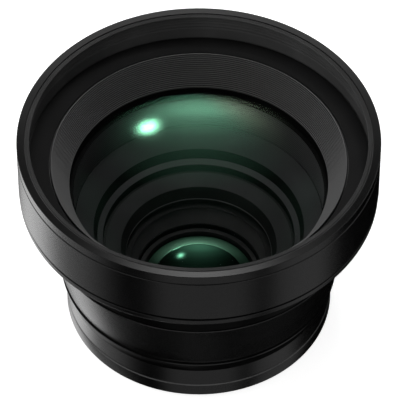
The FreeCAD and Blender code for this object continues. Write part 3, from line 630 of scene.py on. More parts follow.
class GeometryTree(NodeTree):
    """A Geometry Nodes tree with named inputs that is run once to make a plain mesh."""

    def __init__(self, name: str) -> None:
        """Start an empty tree.

        Args:
            name: The tree's name.
        """
        super().__init__(bpy.data.node_groups.new(name, "GeometryNodeTree"))
        self.tree.interface.new_socket("Geometry", in_out="OUTPUT", socket_type="NodeSocketGeometry")
        self.entry = self.tree.nodes.new("NodeGroupInput")
        self.keys: dict[str, str] = {}

    def input(self, name: str, kind: str = "Float") -> Value:
        """Add a named input.

        Args:
            name: The input's name.
            kind: Its socket type, such as Float, Int, Object or Material.

        Returns:
            The socket that carries it inside the tree.
        """
        socket = self.tree.interface.new_socket(name, in_out="INPUT", socket_type=f"NodeSocket{kind}")
        self.keys[name] = socket.identifier
        return Value(self, self.entry.outputs[name])

    def lift(self, geometry: Value, level: Value) -> Value:
        """Raise what the tree has made to a level."""
        sockets = {"Geometry": geometry, "Translation": self.vector(0.0, 0.0, level)}
        return self.add("GeometryNodeTransform", {}, sockets)

    def sweep(self, curve: Value, corners: Sequence[tuple[Any, Any]], scale: Any = 1.0) -> Value:
        """Sweep a four-cornered outline along a level curve round the axis.

        Args:
            curve: The curve's geometry.
            corners: How far each corner lies outwards and upwards of the curve.
            scale: Size of the outline along the curve.

        Returns:
            The swept mesh.
        """
        level = self.add("GeometryNodeSetCurveNormal", {"mode": "Z_UP"}, {"Curve": curve})
        sockets = {
            f"Point {number}": self.vector(out * -1.0, up * -1.0, 0.0)
            for number, (out, up) in enumerate(corners, start=1)
        }
        outline = self.add("GeometryNodeCurvePrimitiveQuadrilateral", {"mode": "POINTS"}, sockets)
        links = {"Curve": level, "Profile Curve": outline, "Scale": scale, "Fill Caps": True}
        return self.add("GeometryNodeCurveToMesh", {}, links)

    def finish(self, geometry: Value) -> None:
        """End the tree in Realize Instances and Set Material.

        Args:
            geometry: What the tree has made.
        """
        real = self.add("GeometryNodeRealizeInstances", {}, {0: geometry})
        sockets = {"Geometry": real, "Material": self.input("Material", "Material")}
        self.add("NodeGroupOutput", {}, {0: self.add("GeometryNodeSetMaterial", {}, sockets)})

    def make(self, name: str, values: dict[str, Any], finish: TurnedMetal) -> bpy.types.Object:
        """Run the tree.

        Args:
            name: The new object's name.
            values: Values of the named inputs.
            finish: The finish of what is made.

        Returns:
            An object with a plain mesh and no modifier.
        """
        holder = link(f"{name}_source", bpy.data.meshes.new(f"{name}_source"))
        modifier = holder.modifiers.new("build", "NODES")
        modifier.node_group = self.tree
        for key, value in {**values, "Material": WARDROBE.get(finish)}.items():
            modifier[self.keys[key]] = value
        depsgraph = bpy.context.evaluated_depsgraph_get()
        made = bpy.data.meshes.new_from_object(holder.evaluated_get(depsgraph), depsgraph=depsgraph)
        bpy.data.objects.remove(holder)
        work = bmesh.new()
        work.from_mesh(made)
        bpy.data.meshes.remove(made)
        bmesh.ops.remove_doubles(work, verts=work.verts, dist=1e-7)
        return finished(name, work, [finish])


def thread_tree() -> GeometryTree:
    """Build the tree that winds a screw thread.

    Returns:
        A tree whose inputs give the root's radius, the pitch, turns, foot, depth outwards and segments a turn.
    """
    tree = GeometryTree("screw_thread")
    radius, pitch, turns = tree.input("Root Radius"), tree.input("Pitch"), tree.input("Turns")
    foot, depth, around = tree.input("Foot"), tree.input("Depth"), tree.input("Segments", "Int")
    spiral = tree.add("GeometryNodeCurveSpiral", {}, {
        "Resolution": around,
        "Rotations": turns,
        "Start Radius": radius,
        "End Radius": radius,
        "Height": pitch * turns,
        "Reverse": False,
    })
    along = tree.add("GeometryNodeSplineParameter", {}, {}, "Factor")
    ends = turns * 6.0
    fade = (along * ends).at_most((1.0 - along) * ends).at_most(1.0).at_least(0.05)
    root, crest, buried = pitch * 0.46, pitch * 0.08, depth * -0.15
    corners = ((buried, root * -1.0), (depth, crest * -1.0), (depth, crest), (buried, root))
    tree.finish(tree.lift(tree.sweep(spiral, corners, fade), foot))
    return tree


def ridge_tree() -> GeometryTree:
    """Build the tree that lays a baffle's ridges up its cone.

    Returns:
        A tree whose inputs give the number of ridges, both ends of the cone, how far each ridge's top slopes
        and the segments round it.
    """
    tree = GeometryTree("baffle_ridges")
    count, around = tree.input("Ridges", "Int"), tree.input("Segments", "Int")
    low, high, slope = tree.input("Foot Radius"), tree.input("Top Radius"), tree.input("Slope")
    foot, top = tree.input("Foot"), tree.input("Top")
    run, rise = (high - low) / count, (top - foot) / count
    index = tree.add("GeometryNodeInputIndex", {}, {})
    out, up = low + index * run, foot + index * rise
    placed = tree.add("GeometryNodeSetPosition", {}, {
        "Geometry": tree.add("GeometryNodePoints", {}, {"Count": count}),
        "Position": tree.vector(0.0, 0.0, up),
    })
    hoops = tree.add("GeometryNodeInstanceOnPoints", {}, {
        "Points": placed,
        "Instance": tree.add("GeometryNodeCurvePrimitiveCircle", {}, {"Resolution": around, "Radius": 1.0}),
        "Scale": tree.vector(out, out, 1.0),
    })
    real = tree.add("GeometryNodeRealizeInstances", {}, {0: hoops})
    back = run * 1.6
    tree.finish(tree.sweep(real, ((0.0, 0.0), (back, 0.0), (back, rise + slope * 0.6), (0.0, rise - slope))))
    return tree


def screw_tree() -> GeometryTree:
    """Build the tree that sets like screws round a circle.

    Returns:
        A tree whose inputs give the screw, how many there are, their circle and their level.
    """
    tree = GeometryTree("ring_of_screws")
    screw, count = tree.input("Screw", "Object"), tree.input("Count", "Int")
    circle, level = tree.input("Circle"), tree.input("Level")
    ring = tree.add("GeometryNodeMeshCircle", {}, {"Vertices": count, "Radius": circle})
    source = tree.add("GeometryNodeObjectInfo", {}, {"Object": screw}, "Geometry")
    spread_out = tree.add("GeometryNodeInstanceOnPoints", {}, {"Points": ring, "Instance": source})
    tree.finish(tree.lift(spread_out, level))
    return tree


def wind(tree: GeometryTree, name: str, root: float, foot: float, turns: float, depth: float,
         finish: TurnedMetal) -> None:
    """Wind a fine thread and hand it to the frame.

    Args:
        tree: The thread's tree.
        name: The thread's name.
        root: Radius of its root, in millimetres.
        foot: Level at which it starts.
        turns: How many turns it makes.
        depth: How far it stands outwards of its root.
        finish: Its finish.
    """
    sizes = {"Root Radius": root, "Pitch": PITCH, "Foot": foot, "Depth": depth}
    values = {key: size * MM for key, size in sizes.items()}
    place_on_root(tree.make(name, {**values, "Turns": turns, "Segments": THREAD_SEGMENTS}, finish), Slot.SATIN_BLACK)


@dataclass
class FrontBarrel:
    """The wide ring at the front with its filter thread, and the name ring inside it.

    Sizes are radii, heights and levels in millimetres, here and in the pieces below, and a foot or top is a level.
    """

    radius: float = 35.0
    foot: float = 32.4  # level of the wide ring's underside
    top: float = 47.3
    waist: float = 30.2  # radius at which the wide ring meets the barrel
    skirt_foot: float = 33.55  # level at which the slope of its foot ends
    lower_groove: Point = (34.65, 35.15)  # levels between which the lower fine groove lies
    upper_groove: Point = (45.05, 45.3)  # levels between which the upper one lies
    groove_side: float = 0.05  # height of a groove's sloping side
    thread_root: float = 33.5  # radius of the filter thread's root
    lip: float = 32.55  # inner radius of the thread's first crest, at the rim
    thread_depth: float = 0.4
    thread_length: float = 3.7
    thread_foot: float = 43.4  # level at which the threaded bore ends
    thread_turns: float = 4.2
    name_inner: float = 28.95
    name_foot: float = 40.4
    name_thickness: float = 0.5
    seat: float = 31.15  # radius of the baffle's seat
    seat_foot: float = 39.4  # level of that seat
    well: float = 30.25  # radius of the well above the floor
    floor_top: float = 37.2  # level of the floor that is screwed to the barrel
    opening: float = 27.6  # radius of the floor's opening

    def build_ring(self) -> None:
        """Turn the wide ring with its two fine grooves, its chamfered foot and its stepped bore."""
        out, top, bore, side = self.radius, self.top, self.thread_root, self.groove_side
        # Chamfered foot, and the wall with its two grooves.
        shape = Profile().line((self.waist, self.foot), (out - 1.1, self.foot), (out - 0.1, self.skirt_foot))
        for before, floor, (low, high) in ((0.1, 0.45, self.lower_groove), (0.0, 0.15, self.upper_groove)):
            shape.line((out - before, low - side), (out - floor, low), (out - floor, high), (out, high + side))
        shape.line((out, top - 0.06))
        # Rim land, notch and lip.
        shape.line((out - 0.06, top), (bore + 0.05, top), finish=2)
        shape.line((bore, top - 0.25), (bore - 0.15, top - 0.25), finish=1)
        shape.line((bore - 0.2, top - 0.05), finish=3)
        # Threaded bore, and the seats below it.
        shape.line((self.lip, top - 0.05), (self.lip, top - 0.35), (bore, top - 0.75), (bore, self.thread_foot),
                   (bore - 0.15, self.thread_foot - 0.2), (bore - 0.15, self.name_foot), finish=1)
        shape.line((self.seat, self.name_foot), (self.seat, self.seat_foot), (self.well, self.seat_foot),
                   (self.well, self.floor_top), (self.opening, self.floor_top), (self.opening, BARREL_TOP),
                   (self.waist, BARREL_TOP), finish=1)
        ring = turned("front_ring_turned", shape, [SATIN, BORE_PAINTED_LIGHT, TOP_PAINTED_LIGHT, LIP_PAINTED_LIGHT], 0.06)
        place_on_root(ring, Slot.SATIN_BLACK, "front_ring")

    def build_thread(self, tree: GeometryTree) -> None:
        """Wind the filter thread into the bore."""
        foot = self.top - self.thread_length
        wind(tree, "filter_thread", self.thread_root, foot, self.thread_turns, -self.thread_depth, BORE_PAINTED_LIGHT)

    def build_name_ring(self) -> None:
        """Turn the flat ring that carries the lettering on such a lens, left bare here."""
        low, high = self.name_foot, self.name_foot + self.name_thickness
        outer = self.thread_root - 0.45
        shape = Profile().line((self.name_inner, low), (outer, low), (outer, high), (self.name_inner, high))
        place_on_root(turned("name_ring_turned", shape, [NAME], 0.05), Slot.FLAT_BLACK, "name_ring")


@dataclass
class Baffle:
    """The ridged cone that leads from the name ring down to the glass, and the ring that holds the glass."""

    ridges: int = 18
    foot_radius: float = 25.35
    top_radius: float = 28.7
    foot: float = 34.539
    top: float = 40.9
    slope: float = 0.062  # how far each ridge's top drops towards the axis
    rim: float = 31.1  # radius of the flange at the top
    flange: float = 40.4  # level of the flange's upper face
    flange_thickness: float = 1.0
    back: float = 28.9  # radius of the cone's back, under the flange
    wall: float = 0.8  # wall of the cone at its foot
    out: float = 0.09  # how far the ridges stand outwards of the cone
    up: float = 0.16  # how far they stand above it
    segments: int = 300
    ring_inner: float = 25.27
    ring_outer: float = 26.05
    ring_foot: float = 33.589
    ring_top: float = 34.489
    notch_width: float = 1.6  # width of the retaining ring's two notches
    notch_depth: float = 0.45
    cutter_top: float = 50.0  # level to which the notches' cutter reaches, above the part

    def build_cone(self) -> None:
        """Turn the cone that carries the ridges."""
        lead = 0.9 * (self.top_radius - self.foot_radius) / self.ridges
        under = self.flange - self.flange_thickness
        shape = Profile().line((self.foot_radius, self.foot), (self.foot_radius + self.wall, self.foot),
                               (self.back, under), (self.rim, under), (self.rim, self.flange),
                               (self.top_radius + lead, self.flange), (self.foot_radius + 0.25, self.foot + 0.15),
                               (self.foot_radius, self.foot + 0.12))
        place_on_root(turned("baffle_cone_turned", shape, [RIDGES_PAINTED_LIGHT], 0.05), Slot.FLAT_BLACK, "ridged_baffle")

    def build_ridges(self) -> None:
        """Lay the ridges up the cone."""
        ridges = ridge_tree().make("baffle_ridges_turned", {
            "Ridges": self.ridges,
            "Segments": self.segments,
            "Foot Radius": (self.foot_radius + self.out) * MM,
            "Top Radius": (self.top_radius + self.out) * MM,
            "Slope": self.slope * MM,
            "Foot": (self.foot + self.up) * MM,
            "Top": (self.top + self.up) * MM,
        }, RIDGES_PAINTED_LIGHT)
        place_on_root(ridges, Slot.FLAT_BLACK)

    def build_retaining_ring(self) -> None:
        """Turn the retaining ring and cut its two spanner notches."""
        clear = self.ring_inner + 0.05
        shape = Profile().line((self.ring_inner, self.ring_foot), (self.ring_outer, self.ring_foot),
                               (self.ring_outer, self.ring_top), (clear, self.ring_top))
        ring = turned("front_retaining_ring_turned", shape, [INK_AND_SHADE_BLACK])
        reach, levels = (clear + 0.1, self.ring_outer + 1.0), (self.ring_top - self.notch_depth, self.cutter_top)
        cut_notches(ring, reach, self.notch_width, levels)
        place_on_root(ring, Slot.INNER_BLACK, "front_retaining_ring")


@dataclass
class FrontGlass:
    """The large front element and the spacer under it."""

    radius: float = 25.3
    face_rim: float = 33.53  # level of its front rim
    face_vertex: float = 38.779  # level of its front vertex
    back_rim: float = 33.45  # level of its rear rim
    back_vertex: float = 29.344  # level of its rear vertex
    grooves: int = 13  # number of fine grooves down the spacer's bore
    groove_depth: float = 0.06
    spacer_inner: float = 24.4
    spacer_foot: float = 24.6
    spacer_top: float = 32.3

    def build_element(self) -> None:
        """Turn the element, with a clear front face and a green-coated back."""
        shape = Profile(closed=False)
        shape.sphere((0.0, self.back_vertex), (self.radius, self.back_rim), 1, 48)
        shape.line((self.radius, self.back_rim), finish=2)
        shape.sphere((self.radius, self.face_rim), (0.0, self.face_vertex), 0, 40)
        shape.line((0.0, self.face_vertex))
        glass = turned("front_element_glass", shape, [FRONT_FACE, FRONT_BACK, INK_AND_SHADE_BLACK])
        glass.visible_glossy = False
        place_on_root(glass, Slot.COATED_GLASS, "front_element")

    def build_spacer(self) -> None:
        """Turn the thin spacer."""
        shape = Profile().line((self.spacer_inner, self.spacer_foot), (self.radius, self.spacer_foot))
        shape.line((self.radius, self.spacer_top), finish=1)
        step = (self.spacer_top - self.spacer_foot - 0.1) / self.grooves
        for number in range(self.grooves):
            level = self.spacer_top - step * number
            shape.line((self.spacer_inner, level), (self.spacer_inner + self.groove_depth, level - step / 2.0))
        place_on_root(turned("front_spacer_turned", shape, [SPACER_PAINTED_LIGHT, INK_AND_SHADE_BLACK]), Slot.INNER_BLACK, "front_spacer")


@dataclass
class Barrel:
    """The outer barrel."""

    radius: float = 30.15  # radius of its upper part
    neck: float = 26.35  # radius of its neck
    foot: float = 5.2  # level of its foot
    neck_top: float = 9.05  # level at which the taper above the neck starts
    land_foot: float = 11.88  # level at which the taper ends on the land
    land_top: float = 12.2
    cone_foot: float = 12.9  # level at which the cone starts
    cone_top: float = 25.4  # level at which it ends
    bore: float = 25.2  # radius of its lower bore
    wide_bore: float = 27.2  # radius of its upper bore
    shoulder: float = 24.0  # level of the shoulder between them
    land: float = 27.37  # radius of the land under the cone
    groove: float = 27.05  # radius of the groove between the land and the cone
    recess: float = 0.2  # depth of the recess above the cone
    recess_top: float = 32.3  # level at which the recess ends, under the wide ring

    def build(self) -> None:
        """Turn the barrel, from its foot up the outside and down its two bores."""
        shape = Profile().line((self.bore, self.foot), (self.neck, self.foot))
        # The taper from here up to the land takes painted shade.
        shape.line((self.neck, self.neck_top), finish=3)
        shape.line((self.land, self.land_foot))
        shape.line((self.land, self.land_top), (self.groove, self.land_top + 0.05),
                   (self.groove, self.cone_foot - 0.1), finish=2)
        shape.line((self.groove + 0.15, self.cone_foot), finish=2)
        shape.line((self.radius + 0.02, self.cone_top - 0.1), (self.radius - 0.06, self.cone_top + 0.08))
        # The recess under the wide ring takes painted shade.
        shape.line((self.radius - self.recess, self.cone_top + 0.1), (self.radius - self.recess, self.recess_top),
                   (self.radius, self.recess_top), finish=3)
        shape.line((self.radius, BARREL_TOP))
        shape.line((self.wide_bore, BARREL_TOP), (self.wide_bore, self.shoulder), (self.bore, self.shoulder), finish=1)
        barrel = turned("main_barrel_turned", shape, [SATIN, INNER, SHADE, RECESS_PAINTED_SHADE])
        place_on_root(barrel, Slot.SATIN_BLACK, "main_barrel")


@dataclass
class InnerBarrel:
    """The inner barrel and the stepped ring in its lower bore."""

    foot: float = 13.45
    bore: float = 21.5  # radius of the lower bore
    upper: float = 27.15  # outer radius of the upper part
    upper_foot: float = 24.3  # level of that part's foot
    top: float = 34.489
    thread: float = 26.1  # radius of the retaining ring's thread
    thread_foot: float = 33.539  # level of its foot
    glass_seat: float = 25.35  # radius of the bore that the front glass and its spacer slide into
    glass_foot: float = 24.6  # level at which the spacer stands
    lip: float = 24.2  # radius of the lip under the spacer
    cone_end: Point = (20.7, 21.5)  # radius and level at which the cone under the lip ends
    throat_end: Point = (20.0, 19.5)  # where the steep throat under the cone ends
    mouth: float = 18.9  # radius of the shelf's opening
    shelf: float = 18.85  # level of the shelf at its opening
    shelf_foot: float = 17.8  # level of its underside
    ring_foot: float = 13.4  # level of the stepped ring's foot
    ring_top: float = 17.75
    ring_bore: float = 14.4  # radius of its opening at the foot
    groove: Point = (18.3, 17.15)  # inner radius and level of the groove round its slope
    slope_end: Point = (15.4, 16.05)  # where the slope ends
    wall_end: Point = (14.5, 13.66)  # where the wall under the slope ends in an edge with a painted highlight

    def build_barrel(self) -> None:
        """Turn the inner barrel, whose lip, cone and shelf show through the front glass."""
        shape = Profile().line((self.bore, self.foot), (SLEEVE, self.foot), (SLEEVE, self.upper_foot),
                               (self.upper, self.upper_foot), (self.upper, self.top), (self.thread, self.top),
                               (self.thread, self.thread_foot), (self.glass_seat, self.thread_foot),
                               (self.glass_seat, self.glass_foot))
        shape.line((self.lip, self.glass_foot), finish=1)
        shape.line(self.cone_end, finish=2)
        shape.line(self.throat_end, finish=1)
        shape.line((self.mouth, self.shelf), (self.mouth, self.shelf_foot), (self.bore, self.shelf_foot), finish=2)
        barrel = turned("inner_barrel_turned", shape, [INK_AND_SHADE_BLACK, WALL_PAINTED_LIGHT, RISER_PAINTED_SHADE], 0.04)
        place_on_root(barrel, Slot.INNER_BLACK, "inner_barrel")

    def build_stepped_ring(self) -> None:
        """Turn the stepped ring that holds the middle glass."""
        rim = self.bore - 0.05
        shape = Profile().line((self.ring_bore, self.ring_foot), (rim, self.ring_foot), (rim, self.ring_top),
                               (self.mouth, self.ring_top))
        shape.line((self.mouth, self.groove[1]), finish=3)
        shape.line(self.groove, finish=1)
        shape.line(self.slope_end, finish=3)
        shape.line(self.wall_end, finish=2)
        ring = turned("stepped_ring_turned", shape, [RISER_PAINTED_SHADE, SLOPE_PAINTED_LIGHT, EDGE_PAINTED_HIGHLIGHT, STEP_PAINTED_SHADE], 0.05)
        place_on_root(ring, Slot.INNER_BLACK, "stepped_ring")


@dataclass
class MiddleGlass:
    """The middle element."""

    radius: float = 15.0
    hollow: float = 13.4  # radius of its hollow back
    face_rim: float = 13.176  # level of its front rim
    face_vertex: float = 15.479  # level of its front vertex
    back_rim: float = 11.976  # level of its rear rim
    back_vertex: float = 13.491  # level of its rear vertex

    def build(self) -> None:
        """Turn the element."""
        shape = Profile(closed=False)
        shape.sphere((0.0, self.back_vertex), (self.hollow, self.back_rim), 0, 30)
        shape.line((self.hollow, self.back_rim), (self.radius, self.back_rim), finish=1)
        shape.sphere((self.radius, self.face_rim), (0.0, self.face_vertex), 0, 32)
        shape.line((0.0, self.face_vertex))
        glass = turned("middle_element_glass", shape, [MIDDLE_FACE, STEP_PAINTED_SHADE])
        glass.visible_glossy = False
        place_on_root(glass, Slot.CLEAR_GLASS, "middle_element")


@dataclass
class RearCell:
    """The rear cell with its cemented pair of glasses and their retaining ring."""

    glass: float = 11.6  # radius of the pair
    hollow: float = 9.0  # radius of the hollow front face
    hollow_rim: float = 5.99  # level of the hollow's rim
    hollow_vertex: float = 4.7  # level of its vertex
    bevel_radius: float = 10.97  # outer radius of the bevel round the hollow
    bevel_top: float = 6.165  # level of the bevel's outer edge
    bevel_steps: int = 8  # edges into which the bevel's curve is cut
    cement_rim: float = 3.215  # level of the cemented surface at its rim
    cement_vertex: float = 2.083  # its level on the axis
    cement: float = 0.01  # gap between the glasses, so that their faces don't meet
    back_rim: float = 1.215  # level of the rear face's rim
    back_vertex: float = 0.653  # level of its vertex
    shoulder: float = 6.015  # level of the shoulder outside the bevel
    foot: float = 0.5  # level of the cell's rear end
    opening: float = 10.8  # radius of its opening behind the pair
    seat: float = 1.1  # level at which the pair lies on it
    wall: float = 15.2  # outer radius of the cell below its rim
    mouth: float = 15.05  # radius of its seat for the middle glass
    mouth_foot: float = 11.676  # level of that seat
    chamfer: Point = (14.1, 13.6)  # radii of the chamfer under the seat
    cone_end: Point = (12.55, 8.3)  # radius and level at which the cone under the chamfer ends
    rim_top: float = 13.4  # level of the cell's upper face
    bore: float = 12.3  # radius of the retaining ring's thread
    bore_top: float = 8.25
    bore_foot: float = 6.005
    ring_inner: float = 11.0
    ring_foot: float = 6.055
    ring_top: float = 7.105
    notch: Point = (11.5, 13.5)  # radii between which its two notches are cut
    notch_width: float = 1.2
    notch_levels: Point = (6.65, 8.0)  # levels between which they are cut

    def build_cell(self) -> None:
        """Turn the cell."""
        clear = self.glass + 0.05
        outer, inner = self.chamfer
        shape = Profile().line((self.opening, self.foot), (self.wall, self.foot), (self.wall, CELL_RIM),
                               (SLEEVE, CELL_RIM), (SLEEVE, self.rim_top), (self.mouth, self.rim_top))
        shape.line((self.mouth, self.mouth_foot), finish=1)
        shape.line((outer, self.mouth_foot), (inner, self.mouth_foot - 0.5), finish=2)
        shape.line(self.cone_end, (self.bore, self.bore_top), (self.bore, self.bore_foot), (clear, self.bore_foot),
                   (clear, self.seat), (self.opening, self.seat), finish=1)
        cell = turned("rear_cell_turned", shape, [INNER, RISER_PAINTED_SHADE, THROAT_PAINTED_LIGHT], 0.05)
        place_on_root(cell, Slot.INNER_BLACK, "rear_cell")

    def build_retaining_ring(self) -> None:
        """Turn the retaining ring of the rear pair and cut its two notches."""
        outer, top = self.bore - 0.05, self.ring_top
        shape = Profile().line((self.ring_inner, self.ring_foot), (outer, self.ring_foot), (outer, top))
        shape.line((self.ring_inner + 0.35, top), (self.ring_inner, top - 0.35), finish=1)
        ring = turned("rear_retaining_ring_turned", shape, [CELL_RING, RISER_PAINTED_SHADE])
        cut_notches(ring, self.notch, self.notch_width, self.notch_levels)
        place_on_root(ring, Slot.INNER_BLACK, "rear_retaining_ring")

    def build_front_glass(self) -> None:
        """Turn the front glass of the pair, with its green hollow and polished bevel."""
        shape = Profile(closed=False)
        shape.sphere((0.0, self.cement_vertex), (self.glass, self.cement_rim), 3, 16)
        shape.line((self.glass, self.cement_rim), (self.glass, self.shoulder), (self.bevel_radius, self.shoulder),
                   finish=2)
        run, fall = self.hollow - self.bevel_radius, self.bevel_top - self.hollow_rim
        for step in range(self.bevel_steps):
            part = step / self.bevel_steps
            shape.line((self.bevel_radius + run * part, self.bevel_top - fall * part * part), finish=1)
        shape.sphere((self.hollow, self.hollow_rim), (0.0, self.hollow_vertex), 0, 36)
        shape.line((0.0, self.hollow_vertex))
        glass = turned("rear_front_glass", shape, [REAR_HOLLOW, REAR_BEVEL, INK_AND_SHADE_BLACK, MIDDLE_FACE])
        place_on_root(glass, Slot.REAR_GLASS, "rear_front_element")

    def build_back_glass(self) -> None:
        """Turn the rear glass of the pair."""
        rim, vertex = self.cement_rim - self.cement, self.cement_vertex - self.cement
        shape = Profile(closed=False)
        shape.sphere((0.0, self.back_vertex), (self.glass, self.back_rim), 0, 20)
        shape.line((self.glass, self.back_rim), finish=1)
        shape.sphere((self.glass, rim), (0.0, vertex), 2, 16)
        shape.line((0.0, vertex))
        glass = turned("rear_back_glass", shape, [REAR_FACE, INK_AND_SHADE_BLACK, MIDDLE_FACE])
        place_on_root(glass, Slot.REAR_GLASS, "rear_back_element")


@dataclass
class Mount:
    """The mount ring with its thread, the cover under it and its screws."""

    thread_crest: float = 24.5  # radius of the mount thread's crest
    thread_depth: float = 0.42
    thread_length: float = 1.7
    thread_foot: float = 0.36
    thread_turns: float = 1.7
    band: float = 26.4  # radius of the lowest band
    band_top: float = 4.5  # level of its upper edge
    bevel: Point = (26.3, 4.72)  # radius and level at which the bevel over that edge, with a painted highlight, ends
    top: Point = (26.25, 5.2)  # radius and level of the top, under the barrel's foot
    bore: float = 23.05  # radius of the bore round the cover
    cell_bore: float = 22.4  # radius of the bore under the cell's rim
    opening: float = 19.6  # radius of the ring's opening
    opening_top: float = 4.2  # level at which that ends in the cell's bore
    cover: float = 1.7  # level at which the cover lies in the bore
    screws: int = 3
    screw_circle: float = 21.325  # radius of their circle
    head_radius: float = 0.95
    head_low: float = 0.7  # level of the heads' outer face
    head_high: float = 1.3  # level of their inner face
    shank: float = 0.48
    shank_end: float = 2.75
    socket: float = 0.5  # radius of the socket over its corners

    def build_ring(self) -> None:
        """Turn the mount ring."""
        root = self.thread_crest - self.thread_depth
        shape = Profile().line((self.bore, 0.0), (root, 0.0), (root, self.thread_length),
                               (self.band, self.thread_length))
        shape.line((self.band, self.band_top), finish=2)
        shape.line(self.bevel, self.top)
        shape.line((SLEEVE, self.top[1]), (SLEEVE, CELL_RIM), (self.cell_bore, CELL_RIM),
                   (self.cell_bore, self.opening_top), (self.opening, self.opening_top), (self.opening, self.cover),
                   (self.bore, self.cover), finish=1)
        place_on_root(turned("mount_ring_turned", shape, [SATIN, INNER, EDGE_PAINTED_HIGHLIGHT], 0.05), Slot.SATIN_BLACK, "mount_ring")

    def build_thread(self, tree: GeometryTree) -> None:
        """Wind the mount thread round the foot."""
        root = self.thread_crest - self.thread_depth
        wind(tree, "mount_thread", root, self.thread_foot, self.thread_turns, self.thread_depth, SATIN)

    def screw(self) -> bpy.types.Object:
        """Model one screw, head down, with its hexagonal socket.

        Returns:
            The screw, standing on the axis at its own level.
        """
        head = self.head_radius
        middle = (self.head_low + self.head_high) / 2.0
        rim = Profile(closed=False).line((0.0, self.head_low), (head - 0.1, self.head_low),
                                         (head, self.head_low + 0.1), (head, self.head_high),
                                         (self.shank, self.head_high), (self.shank, self.shank_end - 0.15),
                                         (self.shank - 0.1, self.shank_end), (0.0, self.shank_end))
        body = turned("cover_screw", rim, [SCREW], faces_round=48)
        cut(body, prism("socket", self.socket, 6, self.head_low - 0.5, middle + 0.05))
        return body

    def build_screws(self) -> None:
        """Set the screws round the cover."""
        screw = self.screw()
        ring = screw_tree().make("cover_screws_set", {
            "Screw": screw,
            "Count": self.screws,
            "Circle": self.screw_circle * MM,
            "Level": 0.0,
        }, SCREW)
        bpy.data.objects.remove(screw)
        place_on_root(ring, Slot.BLACK_SCREW, "cover_screws")

    def dress_nodes(self) -> None:
        """Give the parts that stay as the frame made them their finishes."""
        for node, finish, slot in (
            ("rear_cover", SATIN, Slot.SATIN_BLACK),
            ("magnets", NICKEL, Slot.MAGNET_NICKEL),
            ("shim_ring", BRASS, Slot.SHIM_BRASS),
            ("stop_ring", THROAT_PAINTED_LIGHT, Slot.INNER_BLACK),
            ("front_screws", SCREW, Slot.BLACK_SCREW),
        ):
            dress_node(node, finish)


def mesh_object(name: str, points: Sequence[Sequence[float]], faces: Sequence[Sequence[int]]) -> bpy.types.Object:
    """Make a helper object from corners in millimetres.

    Args:
        name: The object's name.
        points: Its corners.
        faces: Its faces.

    Returns:
        The object, with its faces turned outwards.
    """
    work = bmesh.new()
    corners = [work.verts.new([part * MM for part in point]) for point in points]
    for face in faces:
        work.faces.new([corners[index] for index in face])
    return link(name, to_mesh(work, name))


def prism(name: str, radius: float, sides: int, low: float, high: float) -> bpy.types.Object:
    """Make an upright prism on the axis.

    Args:
        name: The object's name.
        radius: Radius over its corners.
        sides: Number of sides.
        low: Level of its foot.
        high: Level of its top.

    Returns:
        The prism.
    """
    turns = [math.tau * side / sides for side in range(sides)]
    points = [(radius * math.cos(turn), radius * math.sin(turn), level) for level in (low, high) for turn in turns]
    walls = [(side, (side + 1) % sides, sides + (side + 1) % sides, sides + side) for side in range(sides)]
    return mesh_object(name, points, [*walls, list(range(sides)), list(range(sides, 2 * sides))])


def block(name: str, low: Sequence[float], high: Sequence[float]) -> bpy.types.Object:
    """Make a cutting block.

    Args:
        name: The object's name.
        low: One corner in millimetres.
        high: The opposite corner.

    Returns:
        The block.
    """
    points = [(x, y, z) for z in (low[2], high[2]) for y in (low[1], high[1]) for x in (low[0], high[0])]
    faces = ((0, 1, 3, 2), (4, 5, 7, 6), (0, 1, 5, 4), (2, 3, 7, 6), (0, 2, 6, 4), (1, 3, 7, 5))
    return mesh_object(name, points, faces)


def cut(piece: bpy.types.Object, cutter: bpy.types.Object) -> None:
    """Cut a piece with another and remove the cutter.

    Args:
        piece: The piece that is cut.
        cutter: What cuts it.
    """
    modifier = piece.modifiers.new("cut", "BOOLEAN")
    modifier.operation, modifier.solver, modifier.object = "DIFFERENCE", "EXACT", cutter
    depsgraph = bpy.context.evaluated_depsgraph_get()
    made = bpy.data.meshes.new_from_object(piece.evaluated_get(depsgraph), depsgraph=depsgraph)
    piece.modifiers.clear()
    old, piece.data = piece.data, made
    made.name = old.name
    bpy.data.meshes.remove(old)
    bpy.data.objects.remove(cutter)
    made.set_sharp_from_angle(angle=SHARP)


def cut_notches(ring: bpy.types.Object, reach: Point, width: float, levels: Point) -> None:
    """Cut the two spanner notches of a retaining ring.

    Args:
        ring: The ring.
        reach: Radii between which they are cut.
        width: Their width.
        levels: Levels between which they are cut.
    """
    (near, far), (low, high) = reach, levels
    for side in (-1.0, 1.0):
        cut(ring, block("notch", (side * near, width / -2.0, low), (side * far, width / 2.0, high)))


@dataclass(frozen=True)
class Card:
    """A card laid round the part for the metal to reflect, by the bearing of the wall that shows it, in degrees."""

    start: float  # bearing at which the card begins to show, with 0 to the front and the right positive
    full: float  # bearing from which it is at full brightness
    ebb: float  # bearing from which it fades
    end: float  # bearing at which it has gone
    level: float  # its brightness
    below: float  # its brightness straight below the part

    def seen(self, bearing: Value, z: Value) -> Value:
        """Return the card's brightness towards a bearing and the height of a direction."""
        across = bearing.ramp(self.start, self.full) * bearing.ramp(self.ebb, self.end, 1.0, 0.0)
        return across * z.ramp(-0.8, -0.93, self.level, self.below)


CARDS = (
    Card(-85.0, -68.0, -60.0, -49.0, 1.6, 0.0),
    Card(-87.0, -75.0, -72.0, -59.0, 0.0, 1.05),
    Card(-75.0, -58.0, -42.0, -24.0, 0.5, 0.0),
    Card(-17.0, -11.0, 13.0, 21.0, 0.34, 0.034),
    Card(21.0, 28.0, 41.0, 50.0, 0.36, 0.018),
)


